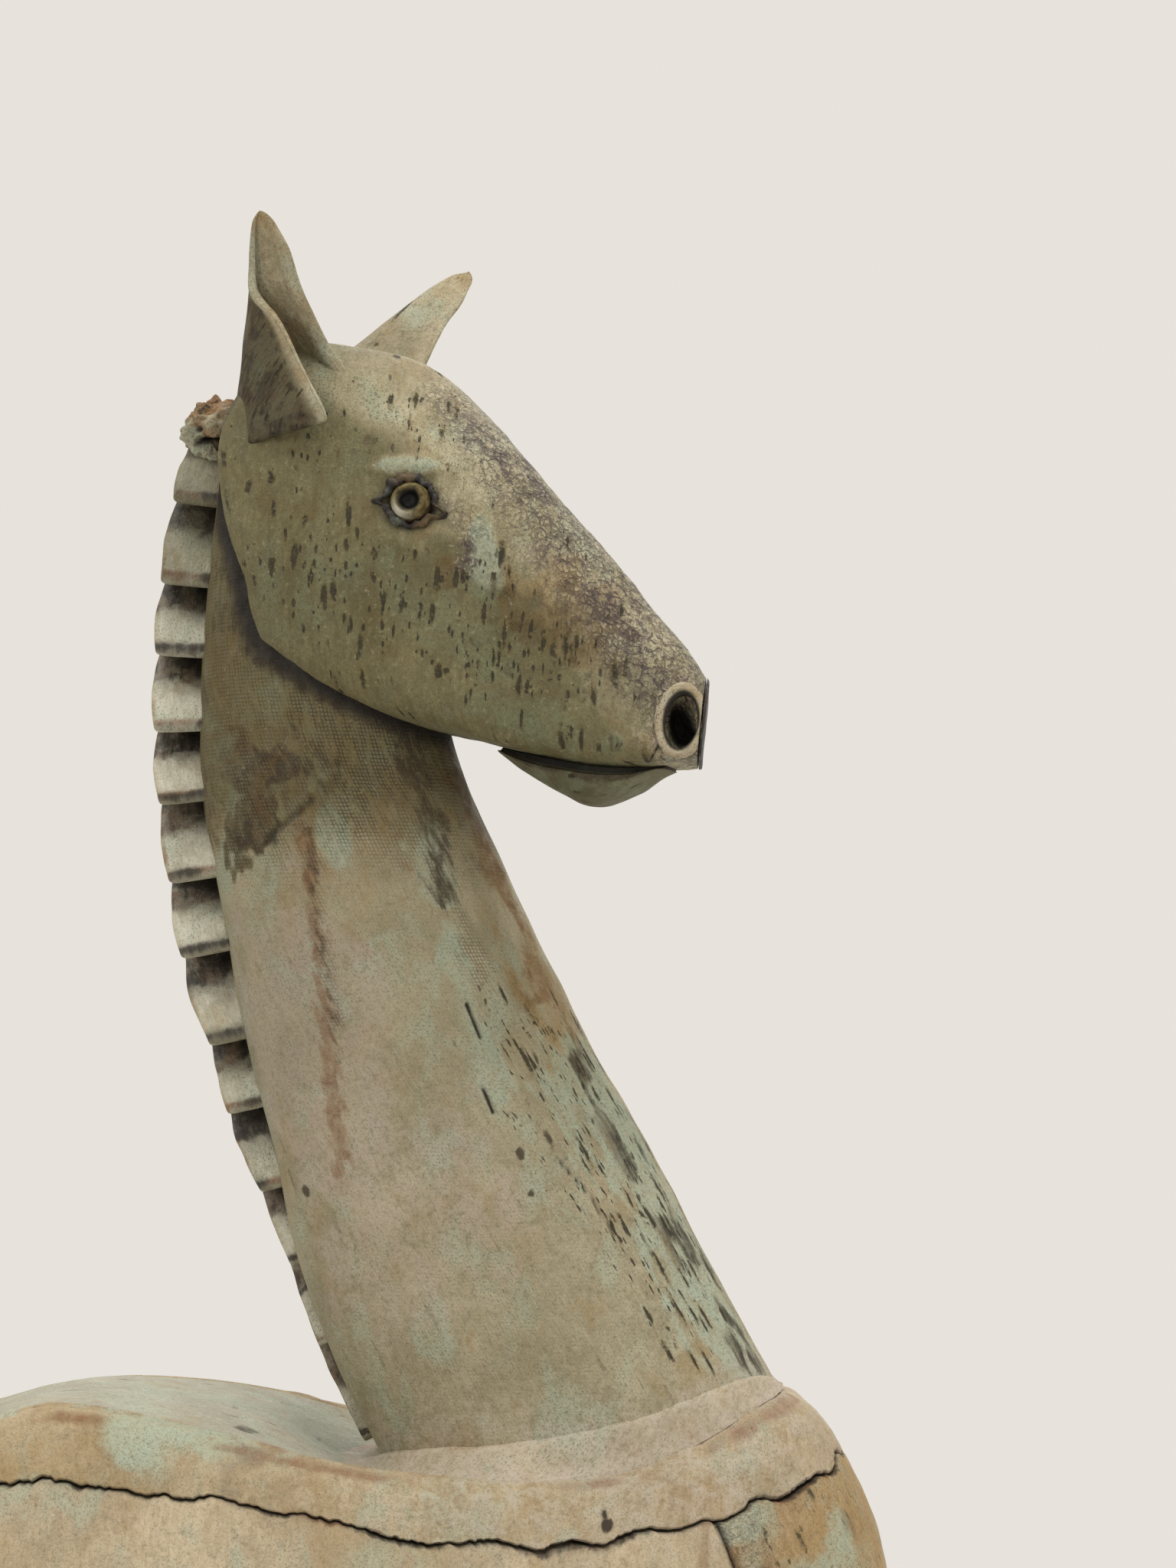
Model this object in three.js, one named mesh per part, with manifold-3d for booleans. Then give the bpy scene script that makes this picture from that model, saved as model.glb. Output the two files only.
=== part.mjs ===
// Standing horse, hand built from rolled slabs of stoneware and fired as one piece.
// Millimetres, +Z up, the body faces +X and its right side is towards -Y.
import * as THREE from "three";
import { mergeVertices } from "three/addons/utils/BufferGeometryUtils.js";
import Module from "manifold-3d";

const wasm = await Module();
wasm.setup();

// Clay and joints
const wall = 5;
const headWall = 4;
const gap = 0.3;

// Body
const legHeight = 150;
const bodyDepth = 112;
const rimFront = 102.5;
const rimRear = -196;
const rimHalfWidth = 47;
const chestBulge = 28;
const rumpBulge = 22;
const flankBulge = 16;
const bandDepth = 16.8;
const tearHeight = 1.8;
const crownHeight = 3;
const troughDepth = 6;
const ventRadius = 14;
const neckVentLength = 60;
const neckVentWidth = 40;

// Neck
const neckFootX = 54;
const neckFootDrop = 16;
const neckRise = 261;
const neckLean = 72;
const neckFootHalfLength = 56;
const neckFootHalfWidth = 36.5;
const neckTopHalfLength = 30;
const neckTopHalfWidth = 25;
const coilReach = 9;
const coilSink = 1.5;
const coilRise = 11;
const coilEndRise = 0.15;

// Mane and tail
const maneWidth = 12.2;
const maneThickness = 3.6;
const maneFold = 5.2;
const manePleats = 14;
const knotRadius = 7;
const knotBack = 3.2;
const knotLump = 0.1;
const knotStretch = 1.15;
const tailWidth = 21;
const tailThickness = 5;
const tailFold = 4.6;
const tailPleats = 6;
const tailLength = 150;
const tailHang = 14;
const tailSplay = 0.25;

// Head
const headYaw = THREE.MathUtils.degToRad(18);
const headPitch = THREE.MathUtils.degToRad(34);
const headAhead = -3;
const headLift = -12;
const headLength = 124;
const muzzleTrim = 0.0282 * headLength;
const headBack = 0.25 * headLength;
const headHalfWidth = 29;
const muzzleHalfWidth = 15;
const plateYaw = THREE.MathUtils.degToRad(14.5);
const platePitch = THREE.MathUtils.degToRad(-27);
const plateThickness = 1.3;
const plateLip = 0.7;
const jawStart = 0.6452 * headLength;
const jawEnd = 0.9597 * headLength;
const jawDepth = 9;
const jawHalfWidth = 12.5;
const mouthGap = 2.2;

// Eyes and nostrils
const eyeRadius = 5.2;
const pupilRadius = 2.1;
const pupilDepth = 4;
const eyeForward = 0.25 * headLength;
const eyeHeight = 0.129 * headLength;
const lidRadius = 1.7;
const nostrilForward = 0.9597 * headLength;
const nostrilHeight = 0.0548 * headLength;
const nostrilHalfLength = 4.4;
const nostrilHalfHeight = 7.4;
const nostrilRimRadius = 1.7;

// Ears
const earHalfDepth = 12.6;
const earHalfWidth = 9.5;
const earThickness = 2.8;
const earBack = 0.0887 * headLength;
const earHeight = 0.0806 * headLength;
const earSpread = 0.129 * headLength;
const earTurn = THREE.MathUtils.degToRad(10);
const leftEarBend = 0.0363 * headLength;

// Legs
const frontLegX = 76;
const rearLegX = -160;
const legSpread = 34;
const thighRise = 36;
const legTopHalfLength = 25;
const legTopHalfWidth = 19;
const cannonHalfLength = 12;
const cannonHalfWidth = 11;
const hoofHeight = 22;
const hoofHalfLength = 20;
const hoofHalfWidth = 16.5;
const hoofTopShare = 0.78;
const hoofToe = 2;
const heelShare = 0.9;
const legSharpness = 2.3;

// Facets
const neckSteps = 24;
const coilSteps = 36;
const headSteps = 26;
const legSteps = 12;

const bodyTop = legHeight + bodyDepth;

// Finishes: weathered celadon over stoneware, with iron and manganese washes
const clay = (color, roughness = 0.85) =>
  new THREE.MeshStandardMaterial({ color, roughness, metalness: 0, side: THREE.DoubleSide });
const finish = {
  head: clay(0xb3ae97),
  neck: clay(0xb1a893),
  mane: clay(0xb9b29c, 0.6),
  rust: clay(0x8a5a35),
  ear: clay(0xaea48a),
  eye: clay(0xb9b48a, 0.45),
  lid: clay(0x3c3032),
  jaw: clay(0x8f8d80),
  back: clay(0xb4bdb0),
  ledge: clay(0xb9aaa6),
  band: clay(0xb8a283),
  side: clay(0xbcae98),
  chest: clay(0xa8865f),
  belly: clay(0xa39c87),
  leg: clay(0xb0a991),
  hoof: clay(0x4b4038),
};

// Smooth curve through [place, value] pairs, flat beyond its ends
function curve(points) {
  const slopes = points.map((point, i) => {
    const before = points[Math.max(i - 1, 0)];
    const after = points[Math.min(i + 1, points.length - 1)];
    return (after[1] - before[1]) / (after[0] - before[0]);
  });
  return (place) => {
    const first = points[0];
    const last = points[points.length - 1];
    if (place <= first[0]) return first[1];
    if (place >= last[0]) return last[1];
    let i = 0;
    while (place > points[i + 1][0]) i += 1;
    const span = points[i + 1][0] - points[i][0];
    const t = (place - points[i][0]) / span;
    const a = (1 + 2 * t) * (1 - t) * (1 - t);
    const b = t * (1 - t) * (1 - t);
    const c = t * t * (3 - 2 * t);
    const d = t * t * (t - 1);
    return a * points[i][1] + b * span * slopes[i] + c * points[i + 1][1] + d * span * slopes[i + 1];
  };
}

// The same curve with its places and values given as shares of one size
function sharesOf(size, points) {
  const line = curve(points);
  return (place) => size * line(place / size);
}

// Signed power, which squares off a circle's cosine or sine
function squared(value, sharpness) {
  return Math.sign(value) * Math.abs(value) ** (2 / sharpness);
}

function range(count) {
  return Array.from({ length: count }, (unused, i) => i);
}

// Closed body from rings of points that all have the same count
function loft(rings) {
  const count = rings[0].length;
  const positions = rings.flat().flat();
  const faces = [];
  const at = (ring, i) => ring * count + (i % count);
  for (let ring = 0; ring + 1 < rings.length; ring += 1) {
    for (let i = 0; i < count; i += 1) {
      faces.push(at(ring, i), at(ring, i + 1), at(ring + 1, i + 1));
      faces.push(at(ring, i), at(ring + 1, i + 1), at(ring + 1, i));
    }
  }
  for (const [ring, turned] of [[0, true], [rings.length - 1, false]]) {
    const centre = positions.length / 3;
    const middle = [0, 1, 2].map((k) => rings[ring].reduce((sum, point) => sum + point[k], 0) / count);
    positions.push(...middle);
    for (let i = 0; i < count; i += 1) {
      if (turned) faces.push(centre, at(ring, i + 1), at(ring, i));
      else faces.push(centre, at(ring, i), at(ring, i + 1));
    }
  }
  return outward(positions, faces);
}

// Closed band from rings that close on each other: the last ring joins the first
function loop(rings) {
  const count = rings[0].length;
  const faces = [];
  const at = (ring, i) => (ring % rings.length) * count + (i % count);
  for (let ring = 0; ring < rings.length; ring += 1) {
    for (let i = 0; i < count; i += 1) {
      faces.push(at(ring, i), at(ring, i + 1), at(ring + 1, i + 1));
      faces.push(at(ring, i), at(ring + 1, i + 1), at(ring + 1, i));
    }
  }
  return outward(rings.flat().flat(), faces);
}

// Geometry whose faces point out, whichever way its rings ran
function outward(positions, faces) {
  let volume = 0;
  const corner = (i) => new THREE.Vector3().fromArray(positions, 3 * i);
  for (let i = 0; i < faces.length; i += 3) {
    volume += corner(faces[i]).dot(corner(faces[i + 1]).cross(corner(faces[i + 2])));
  }
  if (volume < 0) faces.reverse();
  const geometry = new THREE.BufferGeometry();
  geometry.setAttribute("position", new THREE.Float32BufferAttribute(positions, 3));
  geometry.setIndex(faces);
  return geometry;
}

function toSolid(geometry) {
  const bare = geometry.clone();
  bare.deleteAttribute("normal");
  bare.deleteAttribute("uv");
  const merged = mergeVertices(bare, 1e-4);
  return new wasm.Manifold(new wasm.Mesh({
    numProp: 3,
    vertProperties: new Float32Array(merged.attributes.position.array),
    triVerts: new Uint32Array(merged.index.array),
  }));
}

function toGeometry(solid) {
  const mesh = solid.getMesh();
  const geometry = new THREE.BufferGeometry();
  geometry.setAttribute("position", new THREE.BufferAttribute(mesh.vertProperties, 3));
  geometry.setIndex(new THREE.BufferAttribute(mesh.triVerts, 1));
  return geometry;
}

// The first shape with the others cut away, without the crumbs a cut can leave beside it
function cut(geometry, ...tools) {
  const rest = tools.reduce((solid, tool) => solid.subtract(toSolid(tool)), toSolid(geometry));
  const bodies = rest.decompose().sort((a, b) => b.volume() - a.volume());
  return toGeometry(bodies[0]);
}

// Body: upright rings between the rim and the belly, a rounded oblong in plan
const bulge = curve([
  [0, 0], [0.06, 0.3], [0.15, 0.53], [0.24, 0.7], [0.33, 0.84], [0.42, 0.94],
  [0.54, 1], [0.67, 0.95], [0.8, 0.74], [0.92, 0.3], [1, -0.25],
]);
const planSharpness = 2.9;

// Height of each rim over the mean level, by distance from the neck's foot, in shares of the rim's length.
// The left one rides higher at the loin.
const rimLength = rimFront - rimRear;
const rimCurve = (points) => sharesOf(rimLength, points);
const rightSaddle = rimCurve([
  [-0.871, -0.0871], [-0.67, -0.0436], [-0.5293, -0.0121], [-0.4925, 0.0017], [-0.4556, 0.0104],
  [-0.4288, 0.0104], [-0.3786, 0.0017], [-0.3384, -0.008], [-0.2948, -0.0168], [-0.2178, -0.0342],
  [-0.1675, -0.0412], [-0.1139, -0.0472], [-0.067, -0.0503], [-0.0201, -0.0472], [0.0335, -0.0379],
  [0.0704, -0.0245], [0.1039, -0.0087], [0.134, 0.0067], [0.1608, 0.0168],
]);
const leftSaddle = rimCurve([
  [-0.871, -0.0871], [-0.67, -0.0436], [-0.5159, -0.0054], [-0.4724, 0.0044], [-0.4188, 0.009],
  [-0.3417, 0.005], [-0.2948, -0.0013], [-0.2178, -0.0157], [-0.1675, -0.0302], [-0.1139, -0.0419],
  [-0.067, -0.0469], [-0.0201, -0.0472], [0.0335, -0.0379], [0.0704, -0.0245], [0.1039, -0.0087],
  [0.134, 0.0067], [0.1608, 0.0168],
]);

// Height of the back's midline over the rim on each side of it, by share of the rim's length
const crown = curve([
  [-0.7705, crownHeight], [-0.3685, crownHeight], [-0.2848, 0.5 * crownHeight],
  [-0.2077, -troughDepth], [0.0838, -0.5 * troughDepth], [0.1407, 0],
]);

// Steps round the plan: shares of the half width across each end, then of the half length along each side
const endShares = [0, 0.3, 0.57];
const sideShares = [0.66, 0.53, 0.4, 0.26, 0.13];
const quarterAngles = [
  ...endShares.map((share) => Math.asin(share ** (planSharpness / 2))),
  Math.PI / 4,
  ...sideShares.map((share) => Math.acos(share ** (planSharpness / 2))),
];
const backwards = [...quarterAngles.slice(1).reverse(), 0];
const planAngles = [
  ...quarterAngles,
  Math.PI / 2,
  ...backwards.map((angle) => Math.PI - angle),
  ...quarterAngles.slice(1).map((angle) => Math.PI + angle),
  1.5 * Math.PI,
  ...backwards.slice(0, -1).map((angle) => 2 * Math.PI - angle),
];
const bodySteps = planAngles.length;
const halfSteps = bodySteps / 2;
const seamSteps = endShares.length;

// Angle of a whole step, also past either end of the list
function planAngle(step) {
  const turns = Math.floor(step / bodySteps);
  return planAngles[step - turns * bodySteps] + turns * 2 * Math.PI;
}

function bodyPlan(angle, level, inset) {
  const front = rimFront + chestBulge * bulge(level) - inset;
  const rear = rimRear - rumpBulge * bulge(level) + inset;
  const half = rimHalfWidth + flankBulge * bulge(level) - inset;
  const middle = (front + rear) / 2;
  return [
    middle + ((front - rear) / 2) * squared(Math.cos(angle), planSharpness),
    half * squared(Math.sin(angle), planSharpness),
  ];
}

function rimHeight(x, y) {
  const leftShare = THREE.MathUtils.clamp(0.5 + (0.5 * y) / rimHalfWidth, 0, 1);
  return bodyTop + THREE.MathUtils.lerp(rightSaddle(x - neckFootX), leftSaddle(x - neckFootX), leftShare);
}

function bodyPoint(angle, level, inset) {
  const [x, y] = bodyPlan(angle, level, inset);
  const rim = bodyPlan(angle, 0, inset);
  const z = THREE.MathUtils.lerp(rimHeight(...rim), legHeight, level);
  return [x, y, z];
}

function rimHalfWidthAt(x) {
  const middle = (rimFront + rimRear) / 2;
  const along = Math.min(Math.abs(x - middle) / ((rimFront - rimRear) / 2), 0.98);
  return rimHalfWidth * (1 - along ** planSharpness) ** (1 / planSharpness);
}

// Top face of the back: level with the rim, ridged at the loin and hollow before the neck
function backHeight(x, y) {
  const across = Math.min(Math.abs(y) / rimHalfWidthAt(x), 1);
  return rimHeight(x, y) + crown((x - neckFootX) / rimLength) * (1 - across * across);
}

const bodyLevels = [0, 0.04, 0.09, 0.16, 0.24, 0.36, 0.5, 0.66, 0.8, 0.92, 1];

function bodySolid(inset) {
  return loft(bodyLevels.map((level) => planAngles.map((angle) => bodyPoint(angle, level, inset))));
}

// Ragged line where the band laps the slab below it
function tearLevel(angle) {
  const wave = Math.sin(9 * angle) + 0.6 * Math.sin(23 * angle + 1.3) + 0.4 * Math.sin(41 * angle);
  return (bandDepth + 0.5 * tearHeight * wave) / bodyDepth;
}

// One slab of the body wall: columns at whole steps round the plan, rows at the body's own levels
function wallSlab(fromStep, toStep, topLine, bottomLine, seamAngle, grow = 0) {
  const angles = range(toStep - fromStep + 1).map((i) => planAngle(fromStep + i));
  angles[0] += seamAngle;
  angles[angles.length - 1] -= seamAngle;
  const side = (inset) => angles.map((angle) => {
    const top = topLine(angle);
    const bottom = bottomLine(angle);
    const between = bodyLevels.filter(
      (level) => level > slabTopLimit(topLine) && level < slabBottomLimit(bottomLine));
    return [top, ...between, bottom].map((level) => bodyPoint(angle, level, inset));
  });
  const outer = side(-grow);
  const inner = side(wall + grow);
  return loft(outer.map((column, i) => [...column, ...inner[i].slice().reverse()]));
}

// Turns that leave half a gap at the bands' end seams and at the slabs' corner seams
const endSeamAngle = (gap / 2 / rimHalfWidth) ** (planSharpness / 2);
const cornerSeamRadius = 88;
const cornerSeamAngle = gap / 2 / cornerSeamRadius;
const tearLevels = planAngles.map(tearLevel);
const rimLine = () => 0;
const bellyLine = () => 1;
const underTear = (angle) => tearLevel(angle) + (3 * gap) / bodyDepth;
const slabTopLimit = (line) => (line === rimLine ? 0 : Math.max(...tearLevels) + 0.01);
const slabBottomLimit = (line) => (line === bellyLine ? 1 : Math.min(...tearLevels) - 0.01);

const rightBand = wallSlab(halfSteps, bodySteps, rimLine, tearLevel, endSeamAngle);
const leftBand = wallSlab(0, halfSteps, rimLine, tearLevel, endSeamAngle);
const rightSide = wallSlab(halfSteps + seamSteps, bodySteps - seamSteps, underTear, bellyLine, cornerSeamAngle);
const leftSide = wallSlab(seamSteps, halfSteps - seamSteps, underTear, bellyLine, cornerSeamAngle);
const chestSlab = wallSlab(-seamSteps, seamSteps, underTear, bellyLine, cornerSeamAngle);
const rumpSlab = wallSlab(halfSteps - seamSteps, halfSteps + seamSteps, underTear, bellyLine, cornerSeamAngle);

// Plate that fills the plan to a distance inside its edge, in strips across, with heights given by place
const archedColumns = [1, 0.75, 0.4, 0, -0.4, -0.75, -1];
const flatColumns = [1, -1];

function plate(level, edge, columns, top, bottom) {
  const tipHalf = 0.5;
  return loft(planAngles.slice(0, halfSteps + 1).map((angle) => {
    const [x, y] = bodyPlan(angle, level, edge);
    const half = Math.max(y, tipHalf);
    const upper = columns.map((share) => [x, half * share, top(x, half * share)]);
    const lower = columns.map((share) => [x, half * share, bottom(x, half * share)]).reverse();
    return [...upper, ...lower];
  }));
}

function post(x, y, halfLength, halfWidth, fromZ, toZ) {
  const shaft = new THREE.CylinderGeometry(1, 1, toZ - fromZ, legSteps);
  shaft.rotateX(Math.PI / 2);
  shaft.scale(halfLength, halfWidth, 1);
  shaft.translate(x, y, (fromZ + toZ) / 2);
  return shaft;
}

const neckVent = post(
  neckFootX, 0, neckVentLength / 2, neckVentWidth / 2, legHeight + wall * 2, bodyTop + wall);
const backUnderside = (x, y) => backHeight(x, y) - wall;
const backSlab = cut(plate(0, wall + gap, archedColumns, backHeight, backUnderside), neckVent);
const bellyVentX = (frontLegX + rearLegX) / 2;
const bellyVent = post(bellyVentX, 0, ventRadius, ventRadius, legHeight - wall, legHeight + 2 * wall);
const bellySlab = cut(plate(1, wall + gap, flatColumns, () => legHeight + wall, () => legHeight), bellyVent);

// Neck: level rings that lean back as they rise, long at the foot and narrow at the top
const neckFootZ = bodyTop - neckFootDrop;
const neckLeanLine = curve([
  [0, 0], [0.13, 0.225], [0.303, 0.487], [0.448, 0.69], [0.579, 0.852], [0.728, 0.99], [0.86, 1.01],
  [1, 0.965],
]);
const neckTaper = curve([
  [0, 1], [0.13, 0.98], [0.303, 0.76], [0.448, 0.54], [0.579, 0.345], [0.728, 0.13], [0.86, 0.03], [1, 0],
]);
const neckSharpness = 2.2;

function neckSection(share) {
  const taper = neckTaper(share);
  return {
    x: neckFootX - neckLean * neckLeanLine(share),
    halfLength: THREE.MathUtils.lerp(neckTopHalfLength, neckFootHalfLength, taper),
    halfWidth: THREE.MathUtils.lerp(neckTopHalfWidth, neckFootHalfWidth, taper),
    z: neckFootZ + share * neckRise,
  };
}

function neckPoint(angle, share, inset) {
  const section = neckSection(share);
  return [
    section.x + (section.halfLength - inset) * squared(Math.cos(angle), neckSharpness),
    (section.halfWidth - inset) * squared(Math.sin(angle), neckSharpness),
    section.z,
  ];
}

function neckSolid(inset, shares) {
  return loft(shares.map((share) =>
    range(neckSteps).map((i) => neckPoint((i / neckSteps) * 2 * Math.PI, share, inset))));
}

const neckRows = 13;
const neckSunk = -0.03;
const neckShares = range(neckRows + 1).map((i) => THREE.MathUtils.lerp(neckSunk, 1, i / neckRows));
const boreShares = [2 * neckSunk, ...neckShares.slice(1), 1 - neckSunk];

// Head: rings across its own length, +X to the muzzle, +Z over the brow.
// Its outline is given in shares of the head's length.
const headCurve = (points) => sharesOf(headLength, points);
const headTop = headCurve([
  [-0.25, 0.1935], [-0.2258, 0.2581], [-0.1774, 0.3065], [-0.0806, 0.3492], [0, 0.3726],
  [0.0645, 0.379], [0.1613, 0.3661], [0.3226, 0.3274], [0.4839, 0.2839], [0.6452, 0.2387],
  [0.8065, 0.1887], [0.9274, 0.1403], [1.0484, 0.0887],
]);
const headUnder = headCurve([
  [-0.25, 0.1371], [-0.2339, 0.0484], [-0.1935, -0.0363], [-0.1129, -0.125], [-0.0323, -0.1895],
  [0.0323, -0.2452], [0.0887, -0.3032], [0.129, -0.3306], [0.2258, -0.3194], [0.3548, -0.2919],
  [0.4839, -0.2565], [0.6129, -0.2129], [0.7258, -0.171], [0.8548, -0.1145], [0.9355, -0.0645],
  [0.9919, -0.0194], [1.0484, 0.0323],
]);
const headBreadth = curve([
  [-0.25, 0.1], [-0.2258, 0.5], [-0.1774, 0.78], [-0.0806, 0.95], [0, 1], [0.1452, 1.02],
  [0.2742, 0.97], [0.4839, 0.72], [0.6855, 0.4], [0.8468, 0.12], [0.9516, 0], [1.0484, -0.1],
]);
const browSharpness = 2.3;
const cheekSharpness = 6;
const cheekTuck = 0.12;
const midShare = 0.42;

function headPoint(angle, along, grow) {
  const top = headTop(along) + grow;
  const under = headUnder(along) - grow;
  const middle = THREE.MathUtils.lerp(under, top, midShare);
  const half = muzzleHalfWidth + (headHalfWidth - muzzleHalfWidth) * headBreadth(along / headLength) + grow;
  const up = Math.sin(angle);
  const sharpness = up >= 0 ? browSharpness : cheekSharpness;
  const reach = up >= 0 ? top - middle : middle - under;
  const tuck = up >= 0 ? 1 : 1 - cheekTuck * up * up;
  return [
    along,
    half * tuck * squared(Math.cos(angle), sharpness),
    middle + reach * squared(up, sharpness),
  ];
}

const headStations = [
  -0.25, -0.2339, -0.2097, -0.1694, -0.1129, -0.0484, 0.0242, 0.0887, 0.129, 0.1774,
  0.2419, 0.3387, 0.4516, 0.5645, 0.6774, 0.7903, 0.8871, 0.9839, 1.0968,
].map((share) => share * headLength);

function headSolid(grow, steps, fromStation) {
  const stations = headStations.filter((along) => along >= fromStation);
  return loft(stations.map((along, ring) => {
    const place = ring === 0 ? along - grow : along;
    return range(steps).map((i) => {
      const point = headPoint((i / steps) * 2 * Math.PI, along, grow);
      point[0] = place;
      return point;
    });
  }));
}

// Oblique cut that ends the muzzle, in the head's own axes
const muzzleMiddle = [headLength - muzzleTrim, 0, (headTop(headLength) + headUnder(headLength)) / 2];
const muzzleTurn = new THREE.Matrix4()
  .makeTranslation(...muzzleMiddle)
  .multiply(new THREE.Matrix4().makeRotationZ(plateYaw))
  .multiply(new THREE.Matrix4().makeRotationY(platePitch));

// Block ahead of the muzzle's cut, from a given distance past it
function aheadOfMuzzle(distance, depth) {
  const block = new THREE.BoxGeometry(depth, headLength, headLength);
  block.translate(distance + depth / 2, 0, 0);
  block.applyMatrix4(muzzleTurn);
  return block;
}

const hollowSteps = 18;
const hollowBack = 0.18 * headLength;
const headOuter = cut(headSolid(0, headSteps, -headBack), aheadOfMuzzle(0, headLength));
const headGrown = cut(headSolid(gap, headSteps, -headBack), aheadOfMuzzle(gap, headLength));
const headHollow = cut(headSolid(-headWall, hollowSteps, -hollowBack), aheadOfMuzzle(-headWall, headLength));

// The outer surface's half width at a place, found by walking down its ring
function headSideAt(along, height) {
  const top = headTop(along);
  const under = headUnder(along);
  const middle = THREE.MathUtils.lerp(under, top, midShare);
  const half = muzzleHalfWidth + (headHalfWidth - muzzleHalfWidth) * headBreadth(along / headLength);
  const above = height >= middle;
  const sharpness = above ? browSharpness : cheekSharpness;
  const reach = above ? top - middle : middle - under;
  const rise = Math.min(Math.abs(height - middle) / reach, 1);
  const tuck = above ? 1 : 1 - cheekTuck * rise ** sharpness;
  return half * tuck * (1 - rise ** sharpness) ** (1 / sharpness);
}

// Where the surface lies and faces at a place on one side: side is -1 for right and 1 for left
function headFrame(along, height, side) {
  const step = 0.5;
  const point = (a, h) => new THREE.Vector3(a, side * headSideAt(a, h), h);
  const forward = point(along + step, height).sub(point(along - step, height)).normalize();
  const upward = point(along, height + step).sub(point(along, height - step)).normalize();
  const out = side > 0 ? upward.clone().cross(forward) : forward.clone().cross(upward);
  const across = out.normalize().clone().cross(forward).normalize();
  const frame = new THREE.Matrix4().makeBasis(forward, across, out);
  return frame.setPosition(point(along, height));
}

// Ring of clay round an oval, laid in a frame's own plane
function ovalCoil(halfLength, halfHeight, radius, frame, steps, wobble) {
  const rings = range(steps).map((i) => {
    const angle = (i / steps) * 2 * Math.PI;
    const thick = radius * (1 + wobble * (Math.sin(3 * angle + 0.7) + 0.6 * Math.sin(7 * angle)));
    return range(6).map((j) => {
      const turn = (j / 6) * 2 * Math.PI;
      const reach = thick * Math.cos(turn);
      const point = new THREE.Vector3(
        (halfLength + reach) * Math.cos(angle),
        (halfHeight + reach) * Math.sin(angle),
        thick * Math.sin(turn));
      return point.applyMatrix4(frame).toArray();
    });
  });
  return loop(rings);
}

function ovalPlug(halfLength, halfHeight, fromDepth, toDepth, frame) {
  const plug = new THREE.CylinderGeometry(1, 1, toDepth - fromDepth, 16);
  plug.rotateX(Math.PI / 2);
  plug.scale(halfLength, halfHeight, 1);
  plug.translate(0, 0, (fromDepth + toDepth) / 2);
  return plug.applyMatrix4(frame);
}

function ball(radius, frame, sink) {
  const sphere = new THREE.SphereGeometry(radius, 14, 8);
  sphere.rotateX(Math.PI / 2);
  sphere.translate(0, 0, -sink);
  return sphere.applyMatrix4(frame);
}

const eyeSink = 0.42 * eyeRadius;
const lidOver = 1.2;
const lidUnder = 0.7;
const lidSteps = 14;
const lidWobble = 0.16;
const nostrilTilt = 0.49;
const nostrilOver = 0.6 * nostrilRimRadius;
const nostrilDepth = 2.4 * headWall;
const nostrilSteps = 16;
const nostrilWobble = 0.1;
const sides = { right: -1, left: 1 };

function eyeParts(side) {
  const frame = headFrame(eyeForward, eyeHeight, side);
  const pupil = ovalPlug(pupilRadius, pupilRadius, eyeRadius - eyeSink - pupilDepth, 2 * eyeRadius, frame);
  const lid = ovalCoil(
    eyeRadius + lidOver * lidRadius, eyeRadius + lidUnder * lidRadius, lidRadius, frame, lidSteps, lidWobble);
  return {
    ball: cut(ball(eyeRadius, frame, eyeSink), pupil),
    socket: ball(eyeRadius + gap, frame, eyeSink),
    lid: cut(lid, headGrown, ball(eyeRadius + gap, frame, eyeSink)),
  };
}

function nostrilParts(side) {
  const frame = headFrame(nostrilForward, nostrilHeight, side);
  const tilted = frame.clone().multiply(new THREE.Matrix4().makeRotationZ(-side * nostrilTilt));
  const rim = ovalCoil(
    nostrilHalfLength + nostrilOver, nostrilHalfHeight + nostrilOver,
    nostrilRimRadius, tilted, nostrilSteps, nostrilWobble);
  return {
    bore: ovalPlug(nostrilHalfLength, nostrilHalfHeight, -nostrilDepth, 2 * headWall, tilted),
    rim: cut(rim, headGrown, aheadOfMuzzle(-plateThickness, headLength / 2)),
  };
}

const eyes = { right: eyeParts(sides.right), left: eyeParts(sides.left) };
const nostrils = { right: nostrilParts(sides.right), left: nostrilParts(sides.left) };

// Head's place: on the neck's top, turned to the right and nose down
const neckTop = neckSection(1);
const headGroup = new THREE.Group();
headGroup.position.set(neckTop.x + headAhead, 0, neckTop.z + headLift);
headGroup.rotation.set(0, headPitch, -headYaw, "ZYX");
headGroup.updateMatrix();
const headPlace = headGroup.matrix;
const headPlaceBack = headPlace.clone().invert();
const inHead = (geometry) => geometry.clone().applyMatrix4(headPlaceBack);
const onBody = (geometry) => geometry.clone().applyMatrix4(headPlace);

const neckBore = inHead(neckSolid(wall, [0.7, 0.8, 0.9]));
const headShell = cut(
  headOuter, headHollow, neckBore,
  eyes.right.socket, eyes.left.socket, nostrils.right.bore, nostrils.left.bore);

// Flat plate that closes the muzzle, a little larger than the end it covers
function nosePlate() {
  const blank = toSolid(headSolid(plateLip, headSteps, headLength / 2));
  const slice = toSolid(aheadOfMuzzle(gap, plateThickness));
  return toGeometry(blank.intersect(slice));
}

// Lower jaw: a scoop of clay luted under the muzzle on a narrow stem, so that its edge stays clear of the lip
const jawProfile = curve([[0, 0.1], [0.25, 0.42], [0.5, 0.78], [0.68, 1], [0.76, 0.96], [1, 0.14]]);
const jawBreadth = curve([[0, 0.7], [0.3, 0.95], [0.6, 1], [0.85, 0.86], [1, 0.5]]);
const jawOpen = curve([[0, 0.2], [0.2, 0.8], [0.4, 1], [0.8, 0.9], [1, 0.6]]);
const jawOutline = [[0.7, 0, 0], [0.7, 1, 0], [1, 1, 0.06], [0.93, 1, 0.5], [0.55, 1, 0.92]];

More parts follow.
